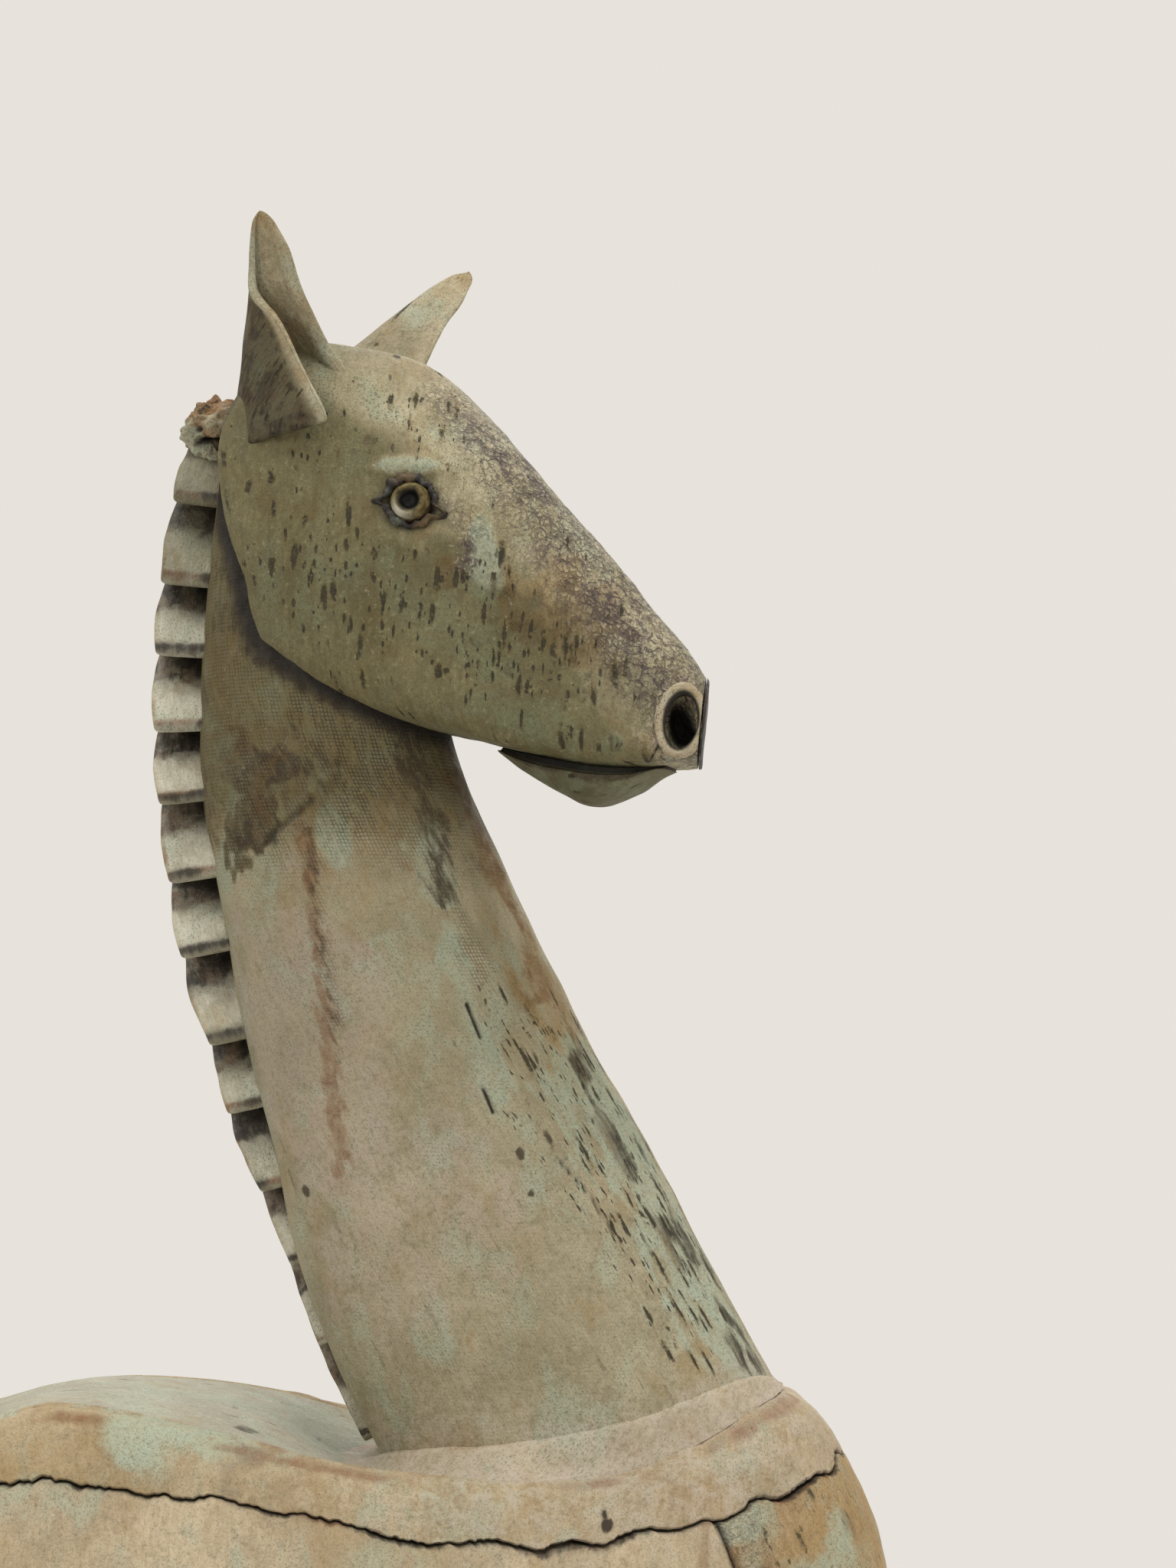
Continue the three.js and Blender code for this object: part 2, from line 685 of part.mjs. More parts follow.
function lowerJaw() {
  const rows = 11;
  const length = jawEnd - jawStart;
  return loft(range(rows + 1).map((row) => {
    const share = row / rows;
    const along = jawStart + share * length;
    const top = headUnder(along) - gap;
    const open = mouthGap * jawOpen(share);
    const depth = Math.max(jawDepth * jawProfile(share), 0.8);
    const half = jawHalfWidth * jawBreadth(share);
    const right = jawOutline.map(
      ([out, clear, deep]) => [along, -half * out, top - open * clear - depth * deep]);
    const left = right.map(([x, y, z]) => [x, -y, z]).reverse();
    return [...right, [along, 0, top - open - depth], ...left];
  }));
}

// Ears: a leaf of clay rolled round its axis, open to the front, with its outer lobe cut short
const earRear = curve([
  [0, 1.15], [0.25, 1.08], [0.42, 0.88], [0.58, 0.66], [0.72, 0.5], [0.86, 0.36], [0.96, 0.22],
  [1, 0.1],
]);
const earFront = curve([
  [0, 1.75], [0.14, 1.7], [0.3, 1.2], [0.42, 0.88], [0.58, 0.66], [0.72, 0.5], [0.86, 0.36],
  [1, 0.1],
]);
const earNarrowing = curve([
  [0, 1.1], [0.25, 1], [0.42, 0.76], [0.58, 0.5], [0.72, 0.36], [0.86, 0.28], [1, 0.12],
]);
const earCurl = curve([[0, 2.6], [0.15, 2.4], [0.3, 2], [0.5, 1.8], [0.7, 1.7], [1, 1.3]]);
const outerLobe = curve([
  [0, 1], [0.13, 1], [0.18, 0.95], [0.28, 0.87], [0.42, 0.74], [0.55, 0.56], [0.62, 0.38], [0.74, 0.15],
  [1, 0.08],
]);

function ear(side, tip, bend) {
  const base = new THREE.Vector3(-earBack, side * earSpread, earHeight);
  const axis = tip.clone().sub(base);
  const length = axis.length();
  axis.normalize();
  const ahead = new THREE.Vector3(Math.cos(earTurn), side * Math.sin(earTurn), 0);
  ahead.addScaledVector(axis, -ahead.dot(axis)).normalize();
  const inwards = axis.clone().cross(ahead).multiplyScalar(-side);
  const rows = 10;
  const columns = 9;
  const thin = 0.2;
  const rings = range(rows + 1).map((row) => {
    const share = row / rows;
    const curl = earCurl(share);
    const place = (column, inset) => {
      const turn = curl * THREE.MathUtils.lerp(-outerLobe(share), 1, column / columns);
      const rear = Math.max(earHalfDepth * earRear(share) - inset, thin);
      const front = Math.max(earHalfDepth * earFront(share) - inset, thin);
      const width = Math.max(earHalfWidth * earNarrowing(share) - inset, thin);
      const reach = (1 - Math.cos(turn)) / (1 - Math.cos(curl));
      return base.clone()
        .addScaledVector(axis, share * length)
        .addScaledVector(ahead, (rear + front) * reach - rear - 4 * bend * share * (1 - share))
        .addScaledVector(inwards, width * Math.sin(turn))
        .toArray();
    };
    const thick = earThickness * (1 - 0.6 * share);
    const outer = range(columns + 1).map((column) => place(column, 0));
    const inner = range(columns + 1).map((column) => place(column, thick)).reverse();
    return [...outer, ...inner];
  });
  return cut(loft(rings), headGrown);
}

const earTip = (...shares) => new THREE.Vector3(...shares).multiplyScalar(headLength);
const ears = {
  right: ear(sides.right, earTip(-0.3508, -0.2823, 0.4637), 0),
  left: ear(sides.left, earTip(-0.1855, 0.4194, 0.5887), leftEarBend),
};

// Pleated strip: a ribbon folded from side to side as it follows its root line
function pleatedStrip({ rootAt, widthAt, foldAt, thickness, pleats }) {
  const stepsPerPleat = 6;
  const steps = pleats * stepsPerPleat;
  const settle = 0.7;
  const centre = range(steps + 1).map((i) => {
    const phase = i / stepsPerPleat;
    const part = phase - Math.floor(phase);
    const turn = part < settle ? part / settle / 2 : 0.5 + (part - settle) / (1 - settle) / 2;
    const share = i / steps;
    return { share, y: foldAt(share) * Math.cos(2 * Math.PI * turn) };
  });
  const rings = centre.map((here, i) => {
    const before = centre[Math.max(i - 1, 0)];
    const after = centre[Math.min(i + 1, steps)];
    const root = rootAt(here.share, here.y);
    const down = rootAt(after.share, 0).place.clone().sub(rootAt(before.share, 0).place);
    const runDown = down.length();
    const runAcross = after.y - before.y;
    const run = Math.hypot(runDown, runAcross);
    const downward = down.normalize();
    const half = 0.5 * thickness;
    const side = (way, reach) => {
      const point = root.place.clone()
        .addScaledVector(root.out, reach)
        .addScaledVector(downward, (-way * half * runAcross) / run);
      point.y += here.y + (way * half * runDown) / run;
      return point.toArray();
    };
    const width = widthAt(here.share);
    return [
      side(1, 0), side(1, 0.75 * width), side(0.3, width),
      side(-0.3, width), side(-1, 0.75 * width), side(-1, 0),
    ];
  });
  return loft(rings);
}

// Mane's root line down the back of the neck, sunk a little below its surface before the neck is cut from it
const maneFootShare = 0.02;
const maneSink = 1.5;
const neckGrown = neckSolid(-gap, neckShares);

function maneRoot(share, y) {
  const neckShare = THREE.MathUtils.lerp(1, maneFootShare, share);
  const backAt = (place) => {
    const section = neckSection(Math.min(place, 1));
    const across = Math.min(Math.abs(y) / section.halfWidth, 1);
    const rise = neckFootZ + place * neckRise;
    const round = (1 - across ** neckSharpness) ** (1 / neckSharpness);
    return new THREE.Vector3(section.x - section.halfLength * round + maneSink, 0, rise);
  };
  const place = backAt(neckShare);
  const along = backAt(neckShare + 0.01).sub(backAt(neckShare - 0.01)).normalize();
  const out = new THREE.Vector3(-along.z, 0, along.x);
  return { place, out };
}

const maneBreadth = curve([
  [0, 0.72], [0.05, 0.94], [0.13, 1.02], [0.3, 1.02], [0.54, 1], [0.61, 0.78], [0.69, 0.68], [0.76, 0.4],
  [0.84, 0.2],
  [1, 0.1],
]);
const maneFullness = curve([[0, 0.6], [0.1, 1], [0.6, 1], [0.74, 0.7], [0.82, 0.15], [1, 0.05]]);
const mane = cut(
  pleatedStrip({
    rootAt: maneRoot,
    widthAt: (share) => maneSink + maneWidth * maneBreadth(share),
    foldAt: (share) => maneFold * maneFullness(share),
    thickness: maneThickness,
    pleats: manePleats,
  }),
  neckGrown,
  onBody(headGrown),
);

// Torn lump that ends the mane behind the ears
function maneKnot() {
  const top = maneRoot(0, 0);
  const lump = new THREE.IcosahedronGeometry(knotRadius, 2);
  const place = lump.attributes.position;
  for (let i = 0; i < place.count; i += 1) {
    const point = new THREE.Vector3().fromBufferAttribute(place, i);
    const wave = Math.sin(1.1 * point.x + 0.4) * Math.cos(0.9 * point.y) + 0.7 * Math.sin(1.3 * point.z + 1);
    point.multiplyScalar(1 + knotLump * wave);
    place.setXYZ(i, point.x, point.y, point.z);
  }
  lump.scale(1, 1, knotStretch);
  lump.translate(top.place.x - knotBack, 0, top.place.z + knotStretch * knotRadius);
  return cut(lump, onBody(headGrown), mane.clone().translate(0, 0, gap));
}

// What the neck stands on: the back and the bands, raised by the gap
const overBack = 1.5 * gap;
const overBand = 0.5 * gap;
const footing = [
  plate(0, wall - gap, archedColumns, (x, y) => backHeight(x, y) + overBack, () => legHeight),
  plate(0, -2 * wall, archedColumns, (x, y) => backHeight(x, y) + overBand, () => legHeight),
  wallSlab(halfSteps, bodySteps, rimLine, tearLevel, 0, gap).translate(0, 0, gap),
  wallSlab(0, halfSteps, rimLine, tearLevel, 0, gap).translate(0, 0, gap),
];
const neckTube = cut(neckSolid(0, neckShares), neckSolid(wall, boreShares), ...footing, onBody(headGrown));

// Where the neck's surface meets the back, at one angle round the neck
function neckFootShare(angle) {
  return range(8).reduce((share) => {
    const [x, y] = neckPoint(angle, share, 0);
    return (backHeight(x, y) - neckFootZ) / neckRise;
  }, 0);
}

function insideRim(x, y, inset) {
  const middle = (rimFront + rimRear) / 2;
  const along = Math.abs(x - middle) / ((rimFront - rimRear) / 2 - inset);
  const across = Math.abs(y) / (rimHalfWidth - inset);
  return along ** planSharpness + across ** planSharpness <= 1;
}

// Cove of clay smoothed round the foot of the neck, as far as the rim lets it spread
const coveOutline = [[0, 0], [0, 1], [0.12, 1], [0.28, 0.6], [0.55, 0.26], [1, 0.1], [1, 0]];

function neckCoil() {
  const coil = loop(range(coilSteps).map((i) => {
    const angle = (i / coilSteps) * 2 * Math.PI;
    const foot = neckFootShare(angle);
    let reach = coilReach;
    const spread = (distance) => neckPoint(angle, foot, -distance);
    while (reach > 1 && !insideRim(...spread(reach).slice(0, 2), 0.8)) reach -= 0.25;
    return coveOutline.map(([outShare, upShare]) => {
      const out = outShare > 0 ? reach * outShare : -coilSink;
      const [groundX, groundY] = spread(out);
      const rise = coilRise * upShare * THREE.MathUtils.lerp(coilEndRise, 1, Math.abs(Math.sin(angle)));
      const z = backHeight(groundX, groundY) + rise;
      const [x, y] = neckPoint(angle, (z - neckFootZ) / neckRise, -out);
      return [x, y, z];
    });
  }));
  return cut(coil, neckGrown, ...footing);
}

// Legs: tapered rolls of slab that stand on separate hooves
const legFullness = curve([[0, 0.15], [0.1, 0], [0.3, 0], [0.46, 0.2], [0.56, 0.16], [0.8, 0.72], [1, 1]]);
const rearLegBend = curve([[0, 0], [0.3, -1], [0.5, -5], [0.75, 2], [1, 6]]);
const frontLegBend = curve([[0, 0], [0.5, 1], [1, 0]]);
const bodyGrown = bodySolid(-gap);

function leg(x, side, bend) {
  const foot = hoofHeight + gap;
  const top = legHeight + thighRise;
  const rows = 8;
  const rings = range(rows + 1).map((row) => {
    const share = row / rows;
    const full = legFullness(share);
    const halfLength = THREE.MathUtils.lerp(cannonHalfLength, legTopHalfLength, full);
    const halfWidth = THREE.MathUtils.lerp(cannonHalfWidth, legTopHalfWidth, full);
    return range(legSteps).map((i) => {
      const angle = (i / legSteps) * 2 * Math.PI;
      return [
        x + bend(share) + halfLength * squared(Math.cos(angle), legSharpness),
        side * legSpread + halfWidth * squared(Math.sin(angle), legSharpness),
        THREE.MathUtils.lerp(foot, top, share),
      ];
    });
  });
  return cut(loft(rings), bodyGrown);
}

function hoof(x, side) {
  const levels = [[0, 0.97], [0.08, 1], [0.55, 0.9], [0.92, hoofTopShare], [1, hoofTopShare - 0.06]];
  return loft(levels.map(([rise, share]) => range(legSteps).map((i) => {
    const angle = (i / legSteps) * 2 * Math.PI;
    const reach = Math.cos(angle) > 0 ? 1 : heelShare;
    return [
      x + hoofToe * (1 - rise) + hoofHalfLength * share * reach * squared(Math.cos(angle), legSharpness),
      side * legSpread + hoofHalfWidth * share * squared(Math.sin(angle), legSharpness),
      hoofHeight * rise,
    ];
  })));
}

// Tail: the same pleated strip, hung from the top of the rump
function tailRoot(share) {
  const tailTopLevel = bandDepth / bodyDepth;
  const drop = share * tailLength;
  const level = Math.min(tailTopLevel + drop / bodyDepth, 0.5);
  const [x] = bodyPlan(Math.PI, level, 0);
  const [, , topZ] = bodyPoint(Math.PI, tailTopLevel, 0);
  const hang = tailHang * share * share;
  return {
    place: new THREE.Vector3(x - 2 * gap - hang, 0, topZ - drop),
    out: new THREE.Vector3(-1, 0, tailSplay),
  };
}

const tailBreadth = curve([[0, 0.55], [0.12, 0.85], [0.4, 1], [0.75, 0.75], [1, 0.25]]);
const tail = cut(pleatedStrip({
  rootAt: tailRoot,
  widthAt: (share) => tailWidth * tailBreadth(share),
  foldAt: (share) => tailFold * (1 - 0.5 * share),
  thickness: tailThickness,
  pleats: tailPleats,
}), bodyGrown);

// Assembly
const horse = new THREE.Group();

function add(parent, name, geometry, material) {
  const mesh = new THREE.Mesh(geometry, material);
  mesh.name = name;
  parent.add(mesh);
}

add(headGroup, "head_shell", headShell, finish.head);
add(headGroup, "nose_plate", nosePlate(), finish.lid);
add(headGroup, "lower_jaw", lowerJaw(), finish.jaw);
for (const [name, side] of Object.entries(sides)) {
  add(headGroup, `${name}_ear`, ears[name], finish.ear);
  add(headGroup, `${name}_eyeball`, eyes[name].ball, finish.eye);
  add(headGroup, `${name}_eyelid`, eyes[name].lid, finish.lid);
  add(headGroup, `${name}_nostril_rim`, nostrils[name].rim, finish.head);
  add(horse, `${name}_front_leg`, leg(frontLegX, side, frontLegBend), finish.leg);
  add(horse, `${name}_rear_leg`, leg(rearLegX, side, rearLegBend), finish.leg);
  add(horse, `${name}_front_hoof`, hoof(frontLegX, side), finish.hoof);
  add(horse, `${name}_rear_hoof`, hoof(rearLegX, side), finish.hoof);
}
add(horse, "right_side_slab", rightSide, finish.side);
add(horse, "left_side_slab", leftSide, finish.side);
add(horse, "right_top_band", rightBand, finish.band);
add(horse, "left_top_band", leftBand, finish.band);
add(horse, "chest_slab", chestSlab, finish.chest);
add(horse, "rump_slab", rumpSlab, finish.side);
add(horse, "back_slab", backSlab, finish.back);
add(horse, "belly_slab", bellySlab, finish.belly);
add(horse, "neck_tube", neckTube, finish.neck);
add(horse, "neck_base_coil", neckCoil(), finish.ledge);
add(horse, "mane_strip", mane, finish.mane);
add(horse, "mane_top_knot", maneKnot(), finish.rust);
add(horse, "tail_strip", tail, finish.mane);
horse.add(headGroup);

// Origin at the middle of the footprint, on the floor
horse.updateMatrixWorld(true);
const extent = new THREE.Box3().setFromObject(horse, true);
const middle = extent.getCenter(new THREE.Vector3());
horse.position.set(-middle.x, -middle.y, -extent.min.z);

export default horse;
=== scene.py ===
# Horse sculpture of slab-built stoneware: detailed pieces, glazes, light and camera
import itertools
import math

import bpy
import numpy as np
from mathutils import Euler, Matrix, Vector
from mathutils.bvhtree import BVHTree


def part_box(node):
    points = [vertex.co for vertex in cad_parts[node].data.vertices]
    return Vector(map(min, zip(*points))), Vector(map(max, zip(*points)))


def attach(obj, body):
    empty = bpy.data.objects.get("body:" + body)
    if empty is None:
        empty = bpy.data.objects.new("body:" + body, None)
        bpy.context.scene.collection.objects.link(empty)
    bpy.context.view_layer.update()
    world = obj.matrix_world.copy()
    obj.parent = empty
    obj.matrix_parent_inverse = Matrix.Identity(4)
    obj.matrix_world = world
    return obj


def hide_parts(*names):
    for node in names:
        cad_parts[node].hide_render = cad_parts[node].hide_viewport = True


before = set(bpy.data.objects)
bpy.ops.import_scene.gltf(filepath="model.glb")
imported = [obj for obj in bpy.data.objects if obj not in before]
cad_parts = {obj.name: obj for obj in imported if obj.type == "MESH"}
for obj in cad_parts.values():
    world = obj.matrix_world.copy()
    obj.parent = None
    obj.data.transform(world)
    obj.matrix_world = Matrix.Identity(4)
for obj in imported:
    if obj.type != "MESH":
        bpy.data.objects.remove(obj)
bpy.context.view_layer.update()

# The shapes below are worked out in millimetres in the horse's own frame, where x = 0 lies over the belly.
# SHIFT moves that frame to the row's frame.
BELLY_MIDDLE = -47.5
MM = 0.001
belly_low, belly_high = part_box("belly_slab")
SHIFT = np.array([(belly_low.x + belly_high.x) / 2 / MM - BELLY_MIDDLE, 0.0, 0.0])

RIGHT = -1
LEFT = 1
SIDES = {"right": RIGHT, "left": LEFT}
TURN = 2 * math.pi


# Curves, noise and masks

def curve(points):
    """Smooth function through [place, value] pairs, flat beyond its ends."""
    places, values = np.array(points, float).T
    last = len(places) - 1
    here = np.arange(last + 1)
    before = np.maximum(here - 1, 0)
    after = np.minimum(here + 1, last)
    slopes = (values[after] - values[before]) / (places[after] - places[before])

    def at(place):
        place = np.clip(place, places[0], places[-1])
        i = np.clip(np.searchsorted(places, place) - 1, 0, last - 1)
        span = places[i + 1] - places[i]
        t = (place - places[i]) / span
        near = (1 + 2 * t) * (1 - t) ** 2 * values[i] + t * (1 - t) ** 2 * span * slopes[i]
        far = t * t * (3 - 2 * t) * values[i + 1] + t * t * (t - 1) * span * slopes[i + 1]
        return near + far

    return at


def power(value, sharpness):
    """Signed power that squares off a circle's cosine or sine."""
    return np.sign(value) * np.abs(value) ** (2 / sharpness)


def blend(low, high, share):
    return low + (high - low) * share


def step_up(value, low, high):
    """Smooth step from 0 at low to 1 at high."""
    t = np.clip((value - low) / (high - low), 0, 1)
    return t * t * (3 - 2 * t)


def lattice(cell, seed):
    """Repeatable value between 0 and 1 for a whole-number cell."""
    mixed = cell[..., 0] * 374761393 + cell[..., 1] * 668265263 + cell[..., 2] * 1442695041 + seed * 974634777
    mixed = (mixed ^ (mixed >> 13)) * 1274126177
    mixed = mixed ^ (mixed >> 16)
    return (mixed & 0xFFFF) / 0xFFFF


def lumps(points, size, seed=0):
    """Smooth noise from -1 to 1 with features about as large as size."""
    scaled = points / size
    cell = np.floor(scaled).astype(np.int64)
    part = scaled - cell
    part = part * part * (3 - 2 * part)
    total = np.zeros(points.shape[:-1])
    for corner in itertools.product((0, 1), repeat=3):
        weight = np.prod(np.where(np.array(corner) == 1, part, 1 - part), axis=-1)
        total += weight * lattice(cell + np.array(corner), seed)
    return 2 * total - 1


def blot(across, up, centre, radius, tilt=0.0, ragged=0.3, rough=None):
    """Stain with a ragged edge: 1 inside, 0 outside, on two coordinates in millimetres."""
    angle = math.radians(tilt)
    x = across - centre[0]
    y = up - centre[1]
    far = np.hypot((x * math.cos(angle) + y * math.sin(angle)) / radius[0],
                   (y * math.cos(angle) - x * math.sin(angle)) / radius[1])
    if rough is not None:
        far = far + ragged * rough
    return 1 - step_up(far, 0.55, 1.15)


def streak(across, up, start, end, width, rough=None):
    """Stain along a line between two places."""
    start = np.array(start, float)
    end = np.array(end, float)
    run = end - start
    share = np.clip(((across - start[0]) * run[0] + (up - start[1]) * run[1]) / (run @ run), 0, 1)
    far = np.hypot(across - start[0] - share * run[0], up - start[1] - share * run[1]) / width
    if rough is not None:
        far = far + 0.5 * rough
    return 1 - step_up(far, 0.35, 1.1)


def most(*masks):
    return np.clip(np.maximum.reduce(np.broadcast_arrays(*masks)), 0, 1)


# Meshes from grids of points

def grid_normals(points, wrap):
    down = np.gradient(points, axis=0)
    if wrap:
        across = (np.roll(points, -1, 1) - np.roll(points, 1, 1)) / 2
    else:
        across = np.gradient(points, axis=1)
    out = np.cross(across, down)
    out /= np.linalg.norm(out, axis=-1, keepdims=True) + 1e-9
    centre = points.reshape(-1, 3).mean(0)
    if (out * (points - centre)).sum() < 0:
        out = -out
    return out


def run_lengths(points):
    """Millimetres run along each row from its middle, and down the rows."""
    along = np.cumsum(np.linalg.norm(np.diff(points, axis=1, prepend=points[:, :1]), axis=-1), axis=1)
    down = np.cumsum(np.linalg.norm(np.diff(points, axis=0, prepend=points[:1]), axis=-1).mean(1))
    return along - along[:, -1:] / 2, down[:, None]


def grid_piece(name, points, wrap=False, place=None, facing=None, masks=None, closed=False):
    """Object from a grid of points in millimetres. facing is a direction that its faces turn to."""
    along, down = run_lengths(points)
    masks = {"round": along, "rise": down, **(masks or {})}
    if closed:
        first, last = (blend(row.mean(axis=1, keepdims=True), row, 0.02) for row in (points[:1], points[-1:]))
        masks = {key: np.broadcast_to(value, points.shape[:2]) for key, value in masks.items()}
        masks = {key: np.concatenate([value[:1], value, value[-1:]]) for key, value in masks.items()}
        points = np.concatenate([first, points, last])
    if place is not None:
        points = points @ place[:3, :3].T + place[:3, 3]
    rows, columns = points.shape[:2]
    index = np.arange(rows * columns).reshape(rows, columns)
    if wrap:
        index = np.concatenate([index, index[:, :1]], axis=1)
    corners = np.stack([index[:-1, :-1], index[:-1, 1:], index[1:, 1:], index[1:, :-1]], axis=-1).reshape(-1, 4)
    flat = points.reshape(-1, 3)
    a, b, c, d = (flat[corners[:, k]] for k in range(4))
    out = np.cross(c - a, d - b)
    if facing is None:
        turned = (out * ((a + c) / 2 - flat.mean(0))).sum() < 0
    else:
        turned = (out @ np.array(facing, float)).sum() < 0
    if turned:
        corners = corners[:, ::-1]
    mesh = bpy.data.meshes.new(name)
    mesh.vertices.add(len(flat))
    mesh.vertices.foreach_set("co", ((flat + SHIFT) * MM).ravel())
    mesh.loops.add(corners.size)
    mesh.loops.foreach_set("vertex_index", corners.ravel().astype(np.int32))
    mesh.polygons.add(len(corners))
    mesh.polygons.foreach_set("loop_start", np.arange(0, corners.size, 4, dtype=np.int32))
    mesh.update(calc_edges=True)
    mesh.shade_smooth()
    for mask, values in masks.items():
        spread = np.broadcast_to(values, (rows, columns)).astype(np.float32)
        mesh.attributes.new(mask, "FLOAT", "POINT").data.foreach_set("value", spread.ravel())
    piece = bpy.data.objects.new(name, mesh)
    bpy.context.scene.collection.objects.link(piece)
    return piece


def stand_in(piece, node, material):
    """The piece takes the place of a CAD node, rides on the body and wears a glaze."""
    piece.data.materials.append(material)
    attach(piece, "root")
    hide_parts(node)


def even_angles(count, point_at, start=0.0, turn=TURN):
    """Angles that are evenly spaced along a closed line."""
    fine = start + np.linspace(0, turn, 20001)
    line = point_at(fine)
    run = np.concatenate([[0], np.cumsum(np.linalg.norm(np.diff(line, axis=0), axis=1))])
    return np.interp(np.linspace(0, run[-1], count), run, fine)


# Glazes

def tone(red, green, blue):
    """Linear colour from its 0 to 255 display values."""
    def linear(value):
        value = value / 255
        return value / 12.92 if value <= 0.04045 else ((value + 0.055) / 1.055) ** 2.4
    return (linear(red), linear(green), linear(blue), 1.0)


RUST = tone(122, 76, 42)
OCHRE = tone(158, 130, 82)
MINT = tone(172, 184, 162)
PINK = tone(188, 172, 158)
# Dark stain colour, which also paints shadow and shade where the stain mask carries them
STAIN_AND_SHADE = tone(56, 46, 30)
PURPLE = tone(70, 58, 62)
DARK = tone(18, 14, 11)
DEEP = (0.36, 0.355, 0.26, 1.0)


class Paint:
    """Node material made step by step: each call adds a node and gives back its output."""

    def __init__(self, name):
        self.material = bpy.data.materials.new(name)
        self.material.use_nodes = True
        self.tree = self.material.node_tree
        self.shader = self.tree.nodes["Principled BSDF"]
        where = self.tree.nodes.new("ShaderNodeTexCoord")
        self.place = self.scaled(where.outputs["Object"], (1000, 1000, 1000))
        flat = self.tree.nodes.new("ShaderNodeCombineXYZ")
        self.join(self.mask("round"), flat.inputs[0])
        self.join(self.mask("rise"), flat.inputs[1])
        self.flat = flat.outputs[0]

    def join(self, source, socket):
        if isinstance(source, bpy.types.NodeSocket):
            self.tree.links.new(source, socket)
        else:
            socket.default_value = source

    def scaled(self, vector, scale, turn=(0, 0, 0)):
        node = self.tree.nodes.new("ShaderNodeMapping")
        node.inputs["Scale"].default_value = scale
        node.inputs["Rotation"].default_value = turn
        self.join(vector, node.inputs["Vector"])
        return node.outputs["Vector"]

    def mask(self, name):
        node = self.tree.nodes.new("ShaderNodeAttribute")
        node.attribute_name = name
        return node.outputs["Fac"]

    def sum(self, operation, first, second):
        node = self.tree.nodes.new("ShaderNodeMath")
        node.operation = operation
        self.join(first, node.inputs[0])
        self.join(second, node.inputs[1])
        return node.outputs[0]

    def times(self, first, second):
        return self.sum("MULTIPLY", first, second)

    def plus(self, first, second):
        return self.sum("ADD", first, second)

    def smooth(self, value, low, high, to_low=0.0, to_high=1.0):
        node = self.tree.nodes.new("ShaderNodeMapRange")
        node.interpolation_type = "SMOOTHSTEP"
        self.join(value, node.inputs["Value"])
        node.inputs["From Min"].default_value = low
        node.inputs["From Max"].default_value = high
        node.inputs["To Min"].default_value = to_low
        node.inputs["To Max"].default_value = to_high
        return node.outputs["Result"]

    def noise(self, size, detail=3.0, roughness=0.55, distortion=0.0, vector=None):
        node = self.tree.nodes.new("ShaderNodeTexNoise")
        node.inputs["Scale"].default_value = 1 / size
        node.inputs["Detail"].default_value = detail
        node.inputs["Roughness"].default_value = roughness
        node.inputs["Distortion"].default_value = distortion
        self.join(vector or self.place, node.inputs["Vector"])
        return node.outputs["Fac"]

    def cells(self, size, feature="F1", vector=None):
        """Cells in the surface's own two coordinates, or in those given."""
        node = self.tree.nodes.new("ShaderNodeTexVoronoi")
        node.voronoi_dimensions = "2D"
        node.feature = feature
        node.inputs["Scale"].default_value = 1 / size
        self.join(vector or self.flat, node.inputs["Vector"])
        return node

    def shifted(self, vector, amount, size):
        """The vector pushed about by noise, so that lines drawn from it wander."""
        node = self.tree.nodes.new("ShaderNodeTexNoise")
        node.inputs["Scale"].default_value = 1 / size
        node.inputs["Detail"].default_value = 2.0
        self.join(vector, node.inputs["Vector"])
        centred = self.tree.nodes.new("ShaderNodeVectorMath")
        centred.operation = "SUBTRACT"
        self.join(node.outputs["Color"], centred.inputs[0])
        centred.inputs[1].default_value = (0.5, 0.5, 0.5)
        pushed = self.tree.nodes.new("ShaderNodeVectorMath")
        pushed.operation = "MULTIPLY_ADD"
        self.join(centred.outputs[0], pushed.inputs[0])
        pushed.inputs[1].default_value = (amount, amount, amount)
        self.join(vector, pushed.inputs[2])
        return pushed.outputs[0]

    def mix(self, share, first, second, kind="MIX"):
        node = self.tree.nodes.new("ShaderNodeMix")
        node.data_type = "RGBA"
        node.blend_type = kind
        node.clamp_factor = True
        self.join(share, node.inputs[0])
        self.join(first, node.inputs[6])
        self.join(second, node.inputs[7])
        return node.outputs[2]

    def bump(self, height, strength=1.0):
        node = self.tree.nodes.new("ShaderNodeBump")
        node.inputs["Strength"].default_value = strength
        node.inputs["Distance"].default_value = MM
        self.join(height, node.inputs["Height"])
        self.join(node.outputs["Normal"], self.shader.inputs["Normal"])


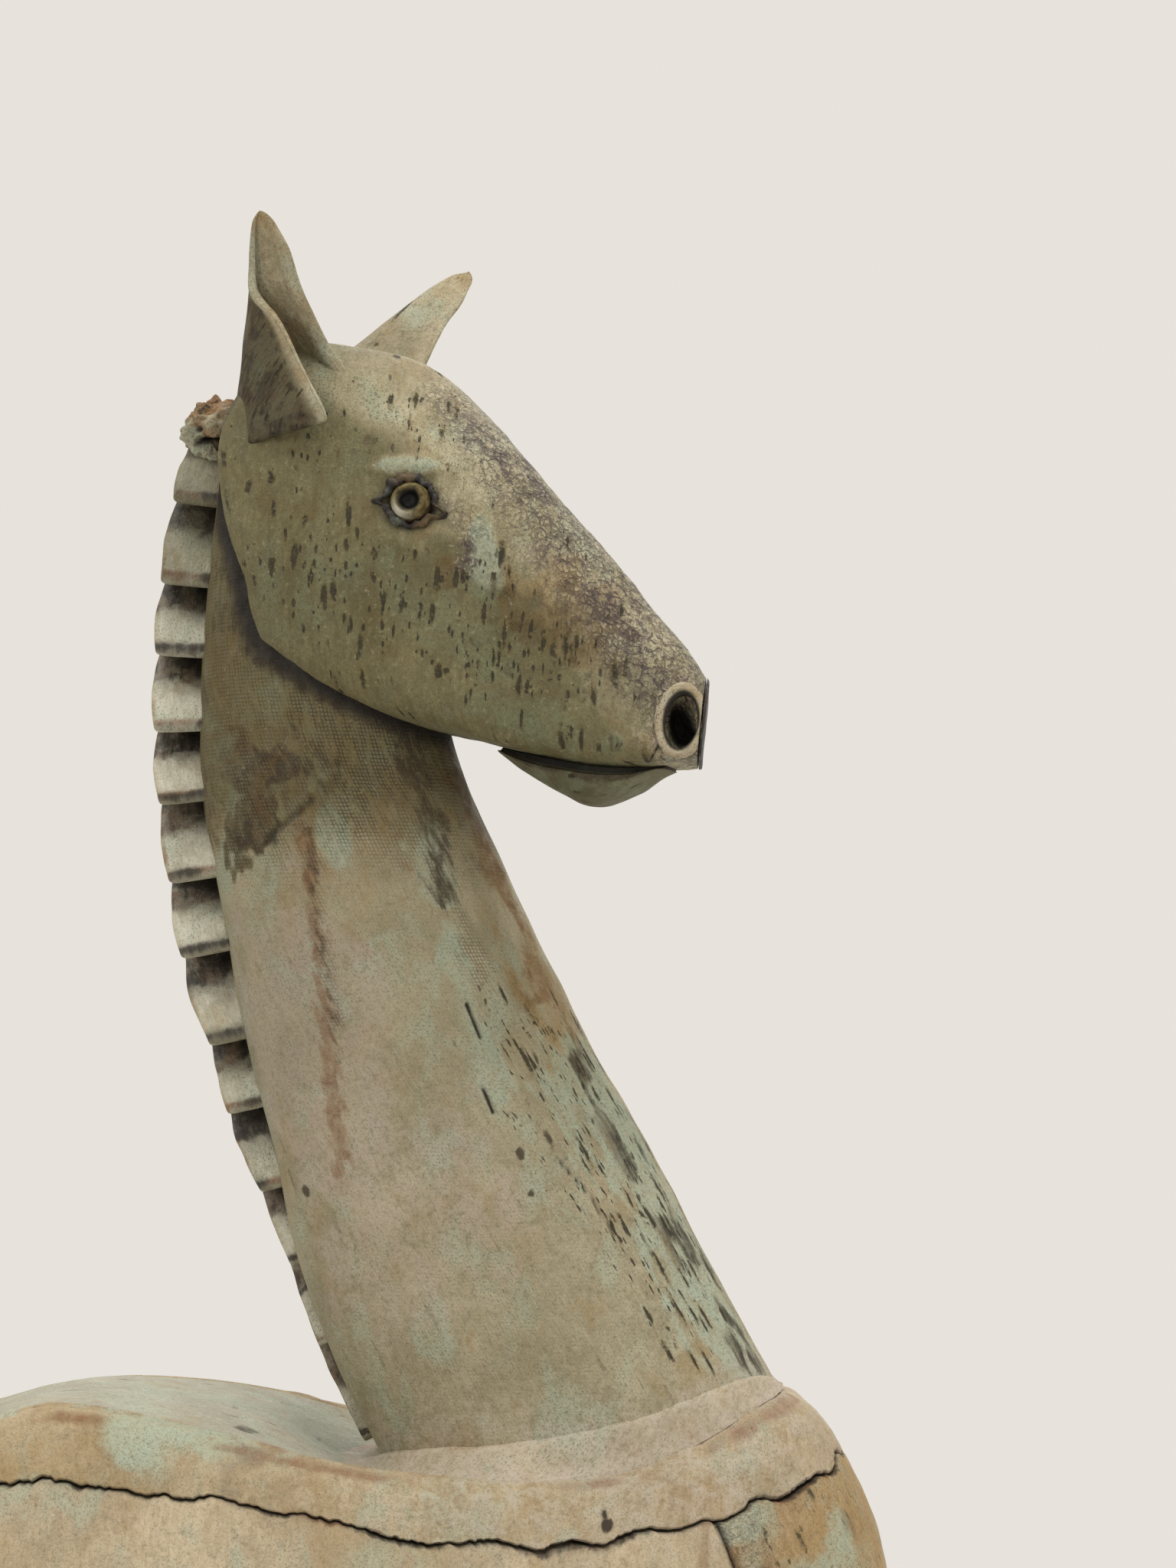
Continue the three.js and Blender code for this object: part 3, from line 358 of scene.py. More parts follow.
def clay(name, pale, deep, roughness=0.72, speckle=0.6, gloss=0.3, grime=0.35, nick_size=3.0, nick_squeeze=0.3):
    """Weathered glaze over stoneware. Masks on the mesh say where its stains, marks, crackle and weave lie, and where
    painted shade and painted highlights go.
    """
    paint = Paint(name)
    broad = paint.noise(24.0, 4.0)
    drift = paint.noise(11.0, 4.0, 0.6, 0.4, paint.scaled(paint.place, (1.0, 1.0, 0.6), (0.7, 0.2, 0.4)))
    patch = paint.noise(5.0, 5.0, 0.65, 0.5)
    fine = paint.noise(1.3, 4.0, 0.7)
    grain = paint.noise(0.42, 2.0, 0.6)
    upright = paint.scaled(paint.flat, (1.0, 0.26, 1.0))
    drips = paint.noise(2.0, 4.0, 0.65, 0.3, upright)
    strokes = paint.noise(0.8, 3.0, 0.65, 0.2, upright)

    body = paint.plus(paint.times(broad, 0.4), paint.plus(paint.times(patch, 0.35), paint.times(drips, 0.25)))
    color = paint.mix(paint.smooth(body, 0.38, 0.62), deep, pale)
    color = paint.mix(paint.smooth(drift, 0.5, 0.68, 0.0, 0.45), color, MINT)
    color = paint.mix(paint.smooth(drift, 0.32, 0.46, 0.4, 0.0), color, OCHRE)

    # Washes that pooled in patches; on the head's brow the mint wash is partly a painted highlight
    cloud = paint.plus(paint.times(paint.plus(patch, -0.5), 1.3), paint.times(paint.plus(fine, -0.5), 0.7))
    for mask, wash in (("ochre", OCHRE), ("mint_and_highlight", MINT), ("pink", PINK), ("rust", RUST)):
        held = paint.smooth(paint.mask(mask), 0.0, 0.15)
        share = paint.times(paint.smooth(paint.plus(paint.mask(mask), cloud), 0.3, 1.15), held)
        color = paint.mix(paint.times(share, 0.8), color, wash)
    # Darker wash multiplied in; on the head it is partly painted shade that grows towards the underside
    held = paint.smooth(paint.mask("deep"), 0.0, 0.12)
    share = paint.smooth(paint.plus(paint.mask("deep"), paint.times(cloud, 0.5)), 0.0, 1.0)
    color = paint.mix(paint.times(share, held), color, DEEP, "MULTIPLY")
    # Dark stain, which some pieces also use for painted shadow and shade: under the head, in the pleats, in holes and
    # along the mouth gap
    held = paint.smooth(paint.mask("stain_and_shade"), 0.0, 0.15)
    soaked = paint.plus(paint.times(paint.plus(drips, -0.5), 1.4), paint.times(cloud, 0.7))
    share = paint.smooth(paint.plus(paint.mask("stain_and_shade"), soaked), 0.3, 0.95)
    color = paint.mix(paint.times(paint.times(share, held), 0.9), color, STAIN_AND_SHADE)

    # Wrinkled crackle: broken dark lines round small raised tops, gathered in purple clouds
    wandering = paint.shifted(paint.flat, 3.4, 2.2)
    cluster = paint.smooth(paint.noise(6.0, 3.0, 0.6, 0.3), 0.46, 0.62)
    plum = paint.times(paint.mask("plum"), paint.smooth(patch, 0.32, 0.56))
    gathered = paint.sum("MAXIMUM", paint.times(cluster, 0.4), plum)
    broken = paint.smooth(paint.noise(1.9, 3.0, 0.6), 0.42, 0.53)
    rim = paint.cells(3.3, "DISTANCE_TO_EDGE", wandering).outputs["Distance"]
    small_rim = paint.cells(1.6, "DISTANCE_TO_EDGE", wandering).outputs["Distance"]
    coarse = paint.times(paint.smooth(rim, 0.05, 0.2, 1.0, 0.0), broken)
    slight = paint.times(paint.smooth(small_rim, 0.04, 0.2, 0.7, 0.0), paint.smooth(patch, 0.42, 0.56))
    strong = paint.times(paint.mask("crackle"), paint.plus(paint.times(gathered, 0.4), 0.65))
    line = paint.times(paint.sum("MAXIMUM", coarse, slight), strong)
    top = paint.times(paint.mask("crackle"), paint.smooth(small_rim, 0.1, 0.32))
    color = paint.mix(paint.times(top, 0.4), color, pale)
    color = paint.mix(paint.times(paint.times(gathered, paint.mask("crackle")), 0.65), color, tone(106, 92, 92))
    color = paint.mix(paint.times(line, 0.95), color, PURPLE)

    # Nicks filled with dark wash, large ones in a soft olive halo and small flecks between them
    wanted = paint.times(paint.mask("marks"), paint.smooth(patch, 0.36, 0.6, 0.5, 1.15))
    nick = 0.0
    for size, squeeze, share, glow in ((nick_size, nick_squeeze, 0.9, 0.5), (nick_size / 2, 1.5 * nick_squeeze, 0.55, 0.0)):
        sprinkled = paint.shifted(paint.scaled(paint.flat, (1.0, squeeze, 1.0)), 0.5 * size, 0.45 * size)
        spots = paint.cells(size, "F1", sprinkled)
        chosen = paint.tree.nodes.new("ShaderNodeSeparateColor")
        paint.join(spots.outputs["Color"], chosen.inputs[0])
        far = paint.sum("DIVIDE", spots.outputs["Distance"], paint.plus(chosen.outputs[1], 0.4))
        far = paint.plus(far, paint.times(paint.plus(fine, -0.5), 0.5))
        lucky = paint.smooth(paint.plus(chosen.outputs[0], paint.times(wanted, share)), 1.0, 1.12)
        nick = paint.sum("MAXIMUM", nick, paint.times(lucky, paint.smooth(far, 0.12, 0.3, 1.0, 0.0)))
        halo = paint.times(lucky, paint.smooth(far, 0.2, 0.6, glow, 0.0))
        color = paint.mix(halo, color, tone(104, 92, 56))
    color = paint.mix(paint.times(nick, 0.92), color, tone(40, 36, 25))

    # Canvas that the slab was rolled on, as two sets of threads that wander a little
    thread = paint.tree.nodes.new("ShaderNodeSeparateXYZ")
    paint.join(paint.shifted(paint.flat, 0.7, 3.0), thread.inputs[0])
    threads = paint.times(
        paint.plus(paint.sum("SINE", paint.times(thread.outputs[0], TURN / 0.95), 0.0), 1.0),
        paint.plus(paint.sum("SINE", paint.times(thread.outputs[1], TURN / 1.0), 0.0), 1.0),
    )
    dips = paint.times(paint.smooth(threads, 0.0, 1.5, 1.0, 0.0), paint.smooth(drips, 0.36, 0.56))
    weave = paint.times(paint.mask("weave"), dips)
    color = paint.mix(paint.times(weave, 0.85), color, STAIN_AND_SHADE)

    # Speckle, fine streaks and grain, and painted shade in the recesses
    specks = paint.cells(1.25)
    crowd = paint.times(paint.smooth(drift, 0.4, 0.6), speckle)
    speck = paint.times(paint.smooth(specks.outputs["Distance"], 0.08, 0.22, 1.0, 0.0), crowd)
    color = paint.mix(speck, color, tone(92, 78, 52))
    color = paint.mix(paint.smooth(strokes, 0.54, 0.72, 0.0, grime), color, tone(96, 90, 66))
    color = paint.mix(paint.smooth(grain, 0.32, 0.52, grime, 0.0), color, STAIN_AND_SHADE)
    color = paint.mix(paint.smooth(fine, 0.34, 0.5, grime, 0.0), color, tone(84, 72, 48))
    color = paint.mix(paint.smooth(fine, 0.56, 0.78, 0.0, 0.35), color, pale)
    color = paint.mix(paint.mask("shade"), color, DARK)
    paint.join(color, paint.shader.inputs["Base Color"])

    height = paint.plus(paint.times(patch, 0.5), paint.plus(paint.times(fine, 0.26), paint.times(grain, 0.09)))
    height = paint.plus(height, paint.times(strokes, 0.2))
    height = paint.plus(height, paint.times(top, 0.35))
    height = paint.plus(height, paint.times(line, -0.35))
    height = paint.plus(height, paint.times(nick, -0.4))
    height = paint.plus(height, paint.times(weave, -0.14))
    paint.bump(height)
    paint.join(paint.smooth(patch, 0.35, 0.65, roughness - 0.12, roughness + 0.12), paint.shader.inputs["Roughness"])
    paint.shader.inputs["Specular IOR Level"].default_value = gloss
    return paint.material


glaze = {
    "head": clay("head_glaze", tone(200, 189, 157), tone(148, 138, 104), speckle=0.8),
    "neck": clay("neck_glaze", tone(182, 171, 142), tone(146, 136, 106), speckle=0.5, grime=0.26, nick_size=1.9,
                 nick_squeeze=0.17),
    "mane": clay("mane_glaze", tone(212, 207, 186), tone(164, 158, 134), roughness=0.5, gloss=0.45, grime=0.2),
    "knot": clay("knot_glaze", tone(178, 152, 118), tone(112, 86, 58)),
    "ear": clay("ear_glaze", tone(188, 176, 146), tone(146, 134, 104), speckle=0.4),
    "jaw": clay("jaw_glaze", tone(152, 146, 118), tone(112, 106, 80)),
    "back": clay("back_glaze", tone(178, 173, 152), tone(152, 147, 127), grime=0.2),
    "cove": clay("cove_glaze", tone(200, 186, 159), tone(166, 153, 127), speckle=0.5, grime=0.24),
    "band": clay("band_glaze", tone(191, 173, 139), tone(158, 138, 105), speckle=0.4, grime=0.25),
    "side": clay("side_glaze", tone(203, 186, 155), tone(174, 156, 126), speckle=0.4, grime=0.25),
    "chest": clay("chest_glaze", tone(198, 174, 138), tone(152, 124, 84), grime=0.3),
    "belly": clay("belly_clay", tone(170, 156, 128), tone(140, 126, 98)),
    "leg": clay("leg_glaze", tone(178, 165, 138), tone(140, 128, 100)),
    "hoof": clay("hoof_wash", tone(84, 70, 54), tone(46, 38, 30), grime=0.2),
    "lid": clay("lid_wash", tone(50, 42, 42), tone(24, 20, 20), roughness=0.6, grime=0.1),
}


def eye_glaze():
    """Satin ochre glaze with a painted highlight as a paler crescent, and painted shade darker towards the drilled
    pupil.
    """
    paint = Paint("eye_glaze")
    mottle = paint.noise(1.8, 3.0)
    color = paint.mix(paint.smooth(mottle, 0.35, 0.65), tone(74, 64, 36), tone(116, 102, 64))
    color = paint.mix(paint.mask("mint_and_highlight"), color, tone(186, 181, 162))
    color = paint.mix(paint.mask("stain_and_shade"), color, STAIN_AND_SHADE)
    color = paint.mix(paint.mask("shade"), color, tone(13, 13, 10))
    paint.join(color, paint.shader.inputs["Base Color"])
    paint.shader.inputs["Roughness"].default_value = 0.45
    paint.shader.inputs["Specular IOR Level"].default_value = 0.15
    paint.bump(paint.times(mottle, 0.3))
    return paint.material


glaze["eye"] = eye_glaze()

# Body

LEG_HEIGHT = 150.0
BODY_DEPTH = 112.0
BODY_TOP = LEG_HEIGHT + BODY_DEPTH
RIM_FRONT = 102.5
RIM_REAR = -196.0
RIM_HALF_WIDTH = 47.0
PLAN_SHARPNESS = 2.9
NECK_FOOT_X = 54.0
BAND_DEPTH = 16.8
WALL = 5.0

bulge = curve([
    [0, 0], [0.06, 0.3], [0.15, 0.53], [0.24, 0.7], [0.33, 0.84], [0.42, 0.94],
    [0.54, 1], [0.67, 0.95], [0.8, 0.74], [0.92, 0.3], [1, -0.25],
])
right_saddle = curve([
    [-260, -26], [-200, -13], [-158, -3.6], [-147, 0.5], [-136, 3.1], [-128, 3.1], [-113, 0.5], [-101, -2.4],
    [-88, -5], [-65, -10.2], [-50, -12.3], [-34, -14.1], [-20, -15], [-6, -14.1], [10, -11.3], [21, -7.3],
    [31, -2.6], [40, 2], [48, 5],
])
left_saddle = curve([
    [-260, -26], [-200, -13], [-154, -1.6], [-141, 1.3], [-125, 2.7], [-102, 1.5], [-88, -0.4], [-65, -4.7],
    [-50, -9], [-34, -12.5], [-20, -14], [-6, -14.1], [10, -11.3], [21, -7.3], [31, -2.6], [40, 2], [48, 5],
])
crown = curve([[-230, 3], [-110, 3], [-85, 1.5], [-62, -6], [25, -3], [42, 0]])


def body_plan(angle, level, inset):
    swell = bulge(level)
    front = RIM_FRONT + 28 * swell - inset
    rear = RIM_REAR - 22 * swell + inset
    half = RIM_HALF_WIDTH + 16 * swell - inset
    x = (front + rear) / 2 + (front - rear) / 2 * power(np.cos(angle), PLAN_SHARPNESS)
    return x, half * power(np.sin(angle), PLAN_SHARPNESS)


def rim_height(x, y):
    left_share = np.clip(0.5 + 0.5 * y / RIM_HALF_WIDTH, 0, 1)
    return BODY_TOP + blend(right_saddle(x - NECK_FOOT_X), left_saddle(x - NECK_FOOT_X), left_share)


def body_point(angle, level, inset):
    x, y = body_plan(angle, level, inset)
    z = blend(rim_height(*body_plan(angle, 0.0, inset)), LEG_HEIGHT, level)
    return np.stack(np.broadcast_arrays(x, y, z), axis=-1)


def rim_half_width(x):
    middle = (RIM_FRONT + RIM_REAR) / 2
    along = np.minimum(np.abs(x - middle) / ((RIM_FRONT - RIM_REAR) / 2), 0.98)
    return RIM_HALF_WIDTH * (1 - along ** PLAN_SHARPNESS) ** (1 / PLAN_SHARPNESS)


def back_height(x, y):
    across = np.minimum(np.abs(y) / rim_half_width(x), 1)
    return rim_height(x, y) + crown(x - NECK_FOOT_X) * (1 - across * across)


def tear_level(angle):
    """Ragged line where the band laps the slab below it."""
    wave = np.sin(9 * angle) + 0.6 * np.sin(23 * angle + 1.3) + 0.4 * np.sin(41 * angle)
    x, y = body_plan(angle, 0.15, 0.0)
    place = np.stack([x, y, 0 * x], axis=-1)
    ragged = 1.1 * lumps(place, 8.0, 1) + 0.7 * lumps(place, 3.0, 2) + 0.4 * lumps(place, 1.1, 3)
    return (BAND_DEPTH + 0.9 * wave + ragged) / BODY_DEPTH


rim_line = lambda angle: np.stack(body_plan(angle, 0.3, 0.0), axis=-1)
body_columns = 560


def crack_width(angle):
    """Height of the dark crack under the band, in millimetres."""
    x, y = body_plan(angle, 0.15, 0.0)
    place = np.stack([x, y, 0 * x], axis=-1)
    uneven = 0.5 + 0.35 * lumps(place, 9.0, 5) + 0.3 * lumps(place, 2.2, 6)
    gaping = np.where(y < 0, np.exp(-((x - 34) / 24) ** 2), 0)
    return 0.25 + 0.5 * uneven + 0.9 * gaping * uneven


def band(side):
    """Upper band of one side: soft top edge over the back, torn lower edge."""
    start = math.pi if side == RIGHT else 0.0
    angles = even_angles(body_columns, rim_line, start, math.pi)
    depth = tear_level(angles) * BODY_DEPTH
    top = [(0.45, 3.8), (0.1, 2.8), (0.3, 1.7), (0.85, 0.9), (1.7, 0.35), (2.6, 0.05)]
    face = [(share, 0.0) for share in np.linspace(0.2, 0.9, 20)]
    lip = [(1.3, 0.0), (0.8, 0.05), (0.45, 0.2), (0.2, 0.5), (0.05, 0.95), (0.0, 1.6), (0.0, 3.4), (0.2, 4.6)]
    rows = []
    for above, inset in ((-0.8, 6.2), (0.0, 4.9)):
        x, y = body_plan(angles, 0.0, inset)
        rows.append(np.stack([x, y, back_height(x, y) + above], axis=-1))
    for drop, inset in top:
        rows.append(body_point(angles, drop / BODY_DEPTH, inset))
    for share, inset in face:
        rows.append(body_point(angles, share * depth / BODY_DEPTH, inset))
    for short, inset in lip:
        rows.append(body_point(angles, (depth - short) / BODY_DEPTH, inset))
    points = np.stack(rows)
    out = grid_normals(points, False)
    dents = 0.45 * lumps(points, 14.0, 3) + 0.3 * lumps(points, 5.0, 4) + 0.12 * lumps(points, 2.0, 6) - 0.4
    weight = np.ones(len(rows))
    weight[:3] = 0.2
    weight[-4:] = 0.3
    points = points + out * (dents * weight[:, None])[..., None]
    count = len(rows)
    level = np.zeros(count)
    level[-6:] = [0.1, 0.3, 0.5, 0.65, 0.75, 0.8]
    low = np.zeros(count)
    low[-9:] = [0.1, 0.3, 0.6, 0.8, 0.9, 1, 1, 1, 1]
    x, z = points[..., 0], points[..., 2]
    rough = lumps(points, 7.0, 8)
    fine = lumps(points, 2.5, 9)
    spots = 0 * x
    if side == RIGHT:
        spots = most(blot(x, z, (55.2, 239.6), (1.2, 1.5), 20, 0.4, fine), blot(x, z, (56.0, 236.8), (1.6, 1.9), 0, 0.4, fine),
                     blot(x, z, (4.6, 234.4), (1.1, 1.1), 0, 0.3, fine))
    warm = step_up(x, -60, 60)
    runs = step_up(lumps(points * np.array([1.0, 1.0, 0.35]), 6.0, 16), -0.1, 0.6)
    rusty = np.abs(x + 24) / 40 + 0.5 * lumps(points, 16.0, 17) - 0.5
    edge_row = np.exp(-((np.arange(count) - 6.5) / 2.6) ** 2)[:, None]
    masks = {
        "ochre": 0.2 + 0.45 * step_up(lumps(points, 30.0, 11), -0.2, 0.6) + 0.2 * step_up(-x, 40, 90),
        "mint_and_highlight": 0.15 + 0.75 * step_up(lumps(points, 20.0, 12) + 0.3 * runs, -0.1, 0.5) * (1 - 0.6 * warm),
        "rust": most(0.8 * edge_row * step_up(lumps(points, 18.0, 13), -0.2, 0.4), 0.75 * runs * step_up(-rusty, -0.1, 0.3),
                     0.5 * step_up(lumps(points, 12.0, 14), 0.3, 0.8), 0.6 * low[:, None] * step_up(rough, -0.2, 0.6)),
        "stain_and_shade": most(0.6 * low[:, None] * step_up(rough + fine, -0.3, 0.8), 0.95 * spots),
        "shade": most(level[:, None], 0.5 * spots),
        "pink": 0.3 + 0.3 * warm,
        "marks": 0.0,
    }
    return grid_piece(f"{name_of(side)}_top_band_clay", points, masks=masks)


def name_of(side):
    return "right" if side == RIGHT else "left"


def wall_slab(name, start, turn, columns, masks_at):
    """One slab of the wall below the torn line, with rounded upright edges."""
    angles = even_angles(columns, rim_line, start, turn)
    first = tear_level(angles) * BODY_DEPTH
    gape = crack_width(angles)
    edge_rows = [(-1.8, 3.6), (0.3, 3.4), (0.75, 1.8), (1.0, 0.9), (1.35, 0.45), (1.9, 0.2), (3.0, 0.1)]
    rows = [body_point(angles, (first + drop * gape) / BODY_DEPTH, inset) for drop, inset in edge_rows]
    last = (first + 3.0 * gape) / BODY_DEPTH
    shares = np.linspace(0, 1, 76)[1:]
    for share in shares:
        rows.append(body_point(angles, blend(last, 1.0, share), 0.1))
    points = np.stack(rows)
    out = grid_normals(points, False)
    run = np.concatenate([[0], np.cumsum(np.linalg.norm(np.diff(points[20], axis=0), axis=1))])
    edge = np.minimum(run, run[-1] - run)
    fine = lumps(points, 2.5, 27)
    tuck = np.exp(-(edge[None, :] / (0.7 + 0.25 * fine)) ** 2)
    count = len(rows)
    order = np.arange(count)
    foot = step_up(order / (count - 1), 0.985, 1.0) ** 2
    dents = 0.8 * lumps(points, 26.0, 21) + 0.35 * lumps(points, 8.0, 22) + 0.12 * lumps(points, 2.5, 23) - 0.5
    settle = step_up(order, 2, 9)
    sink = dents * settle[:, None] - 1.2 * tuck - 1.2 * foot[:, None]
    points = points + out * sink[..., None]
    masks = masks_at(points)
    crack = np.zeros(count)
    crack[:6] = [0.8, 0.8, 0.75, 0.6, 0.35, 0.1]
    soaked = np.exp(-(np.maximum(order - 4, 0) / 1.6) ** 2)[:, None]
    masks["stain_and_shade"] = most(masks["stain_and_shade"], 0.75 * soaked * step_up(lumps(points, 6.0, 28), -0.3, 0.5))
    masks["rust"] = most(masks["rust"], 0.8 * soaked * step_up(lumps(points, 14.0, 29), -0.2, 0.4))
    masks["shade"] = most(crack[:, None] + 0 * fine, 0.85 * tuck)
    bottom = points[-1:]
    inward = bottom * np.array([0.9, 0.85, 1.0]) + np.array([-4.7, 0, 0])
    points = np.concatenate([points, inward])
    masks = {key: np.concatenate([value, value[-1:]]) for key, value in
             ((key, np.broadcast_to(value, (count, len(angles)))) for key, value in masks.items())}
    return grid_piece(name, points, masks=masks)


def side_masks(points):
    x, y, z = points[..., 0], points[..., 1], points[..., 2]
    rough = lumps(points, 9.0, 31)
    seam = streak(x, z, (81.0, 245), (77.0, 205), 3.0, rough) * (y < 0)
    return {
        "ochre": 0.2 + 0.45 * step_up(lumps(points, 34.0, 32), -0.1, 0.6),
        "mint_and_highlight": 0.12 + 0.45 * step_up(lumps(points, 28.0, 33), 0.05, 0.6),
        "rust": most(0.45 * step_up(lumps(points, 22.0, 34), 0.4, 0.8), 0.7 * seam),
        "stain_and_shade": most(0.5 * step_up(lumps(points, 12.0, 35), 0.62, 0.9), 0.25 * seam),
        "marks": 0.12 * step_up(lumps(points, 20.0, 37), 0.1, 0.5),
        "pink": 0.45 * step_up(lumps(points, 40.0, 36), -0.2, 0.5),
    }


def chest_masks(points):
    return {
        "ochre": 0.45 + 0.4 * step_up(lumps(points, 30.0, 42), -0.2, 0.5),
        "mint_and_highlight": 0.1 + 0.8 * step_up(lumps(points, 17.0, 43), 0.05, 0.5),
        "rust": 0.3 + 0.45 * step_up(lumps(points, 20.0, 44), -0.1, 0.5),
        "stain_and_shade": most(0.6 * step_up(lumps(points, 9.0, 45), 0.5, 0.9),
                      0.5 * step_up(lumps(points, 3.0, 47), 0.4, 0.8) * step_up(lumps(points, 17.0, 43), -0.2, 0.4)),
        "marks": 0.15,
        "crackle": 0.5 * step_up(lumps(points, 22.0, 46), 0.2, 0.6),
    }


corner = math.pi / 4
stand_in(band(RIGHT), "right_top_band", glaze["band"])
stand_in(band(LEFT), "left_top_band", glaze["band"])
stand_in(wall_slab("right_side_clay", math.pi + corner, math.pi - 2 * corner, 420, side_masks),
         "right_side_slab", glaze["side"])
stand_in(wall_slab("left_side_clay", corner, math.pi - 2 * corner, 420, side_masks),
         "left_side_slab", glaze["side"])
stand_in(wall_slab("chest_clay", -corner, 2 * corner, 200, chest_masks), "chest_slab", glaze["chest"])
stand_in(wall_slab("rump_clay", math.pi - corner, 2 * corner, 200, side_masks), "rump_slab", glaze["side"])


def back():
    """Saddle-shaped top of the body, tucked under the soft edge of the bands."""
    along = even_angles(420, lambda angle: np.stack(body_plan(angle, 0.0, 4.6), axis=-1), 0.0, math.pi)
    x, half = body_plan(along, 0.0, 4.6)
    half = np.maximum(half, 0.4)
    shares = np.sin(np.linspace(-math.pi / 2, math.pi / 2, 110))
    y = half[:, None] * shares[None, :]
    x = np.broadcast_to(x[:, None], y.shape)
    z = back_height(x, y) - 0.35
    points = np.stack([x, y, z], axis=-1)
    edge = 1 - np.abs(shares) + 0 * x
    points[..., 2] += (0.5 * lumps(points, 16.0, 51) + 0.2 * lumps(points, 5.0, 52) - 0.3) * step_up(edge, 0.02, 0.2)
    points[..., 2] -= 1.3 * (1 - step_up(edge, 0.0, 0.03))
    masks = {
        "mint_and_highlight": 0.3 + 0.4 * step_up(lumps(points, 20.0, 53), -0.2, 0.5) * step_up(edge, 0.03, 0.2),
        "stain_and_shade": 0.7 * step_up(lumps(points * np.array([0.3, 1.0, 1.0]), 3.0, 54), 0.5, 0.8) * step_up(-x, -30, 20),
        "ochre": 0.25 * step_up(lumps(points, 14.0, 55), 0.4, 0.8),
        "marks": 0.0,
        "pink": 0.3 + 0.3 * step_up(x, -20, 0),
    }
    return grid_piece("back_clay", points, facing=(0, 0, 1), masks=masks)


stand_in(back(), "back_slab", glaze["back"])


def belly():
    """Floor of the body, with a round vent."""
    angles = even_angles(240, lambda angle: np.stack(body_plan(angle, 1.0, 1.5), axis=-1))[:-1]
    x, y = body_plan(angles, 1.0, 1.5)
    outer = np.stack([x, y], axis=-1)
    turn = np.arctan2(outer[:, 1], outer[:, 0] + 42)
    vent = np.stack([-42 + 14 * np.cos(turn), 14 * np.sin(turn)], axis=-1)
    shares = np.linspace(0, 1, 60)[:, None, None]
    flat = outer[None] * (1 - shares) + vent[None] * shares
    points = np.concatenate([flat, np.full(flat.shape[:2] + (1,), LEG_HEIGHT + 0.5)], axis=-1)
    points[..., 2] += 0.4 + 0.4 * lumps(points, 14.0, 61)
    inside = points[-1] + np.array([0, 0, WALL])
    points = np.concatenate([points, inside[None]])
    masks = {"stain_and_shade": 0.5 * step_up(lumps(points, 18.0, 62), 0.2, 0.8), "ochre": 0.4, "marks": 0.5}
    return grid_piece("belly_clay", points, wrap=True, facing=(0, 0, -1), masks=masks)


stand_in(belly(), "belly_slab", glaze["belly"])

# Neck

NECK_FOOT_Z = BODY_TOP - 16
NECK_RISE = 261.0
NECK_SHARPNESS = 2.2
neck_lean = curve([
    [0, 0], [0.13, 0.225], [0.303, 0.487], [0.448, 0.69], [0.579, 0.852], [0.728, 0.99], [0.86, 1.01], [1, 0.965],
])
neck_taper = curve([
    [0, 1], [0.13, 0.98], [0.303, 0.76], [0.448, 0.54], [0.579, 0.345], [0.728, 0.13], [0.86, 0.03], [1, 0],
])


def neck_section(share):
    taper = neck_taper(share)
    return (NECK_FOOT_X - 72 * neck_lean(share), blend(30, 56, taper), blend(25, 36.5, taper),
            NECK_FOOT_Z + share * NECK_RISE)


def neck_point(angle, share, inset):
    x, half_length, half_width, z = neck_section(share)
    return np.stack(np.broadcast_arrays(
        x + (half_length - inset) * power(np.cos(angle), NECK_SHARPNESS),
        (half_width - inset) * power(np.sin(angle), NECK_SHARPNESS),
        z,
    ), axis=-1)


def near_head(points, reach):
    """1 where a place on the neck or ears touches the head, falling to 0 at reach millimetres from it."""
    bpy.context.view_layer.update()
    tree = BVHTree.FromObject(head_piece, bpy.context.evaluated_depsgraph_get())
    shade = np.zeros(points.shape[:-1])
    flat = (points + SHIFT) * MM
    for index in np.ndindex(*shade.shape):
        found = tree.find_nearest(Vector(flat[index]), reach * MM)
        if found[0] is not None:
            shade[index] = 1 - found[3] / (reach * MM)
    return shade


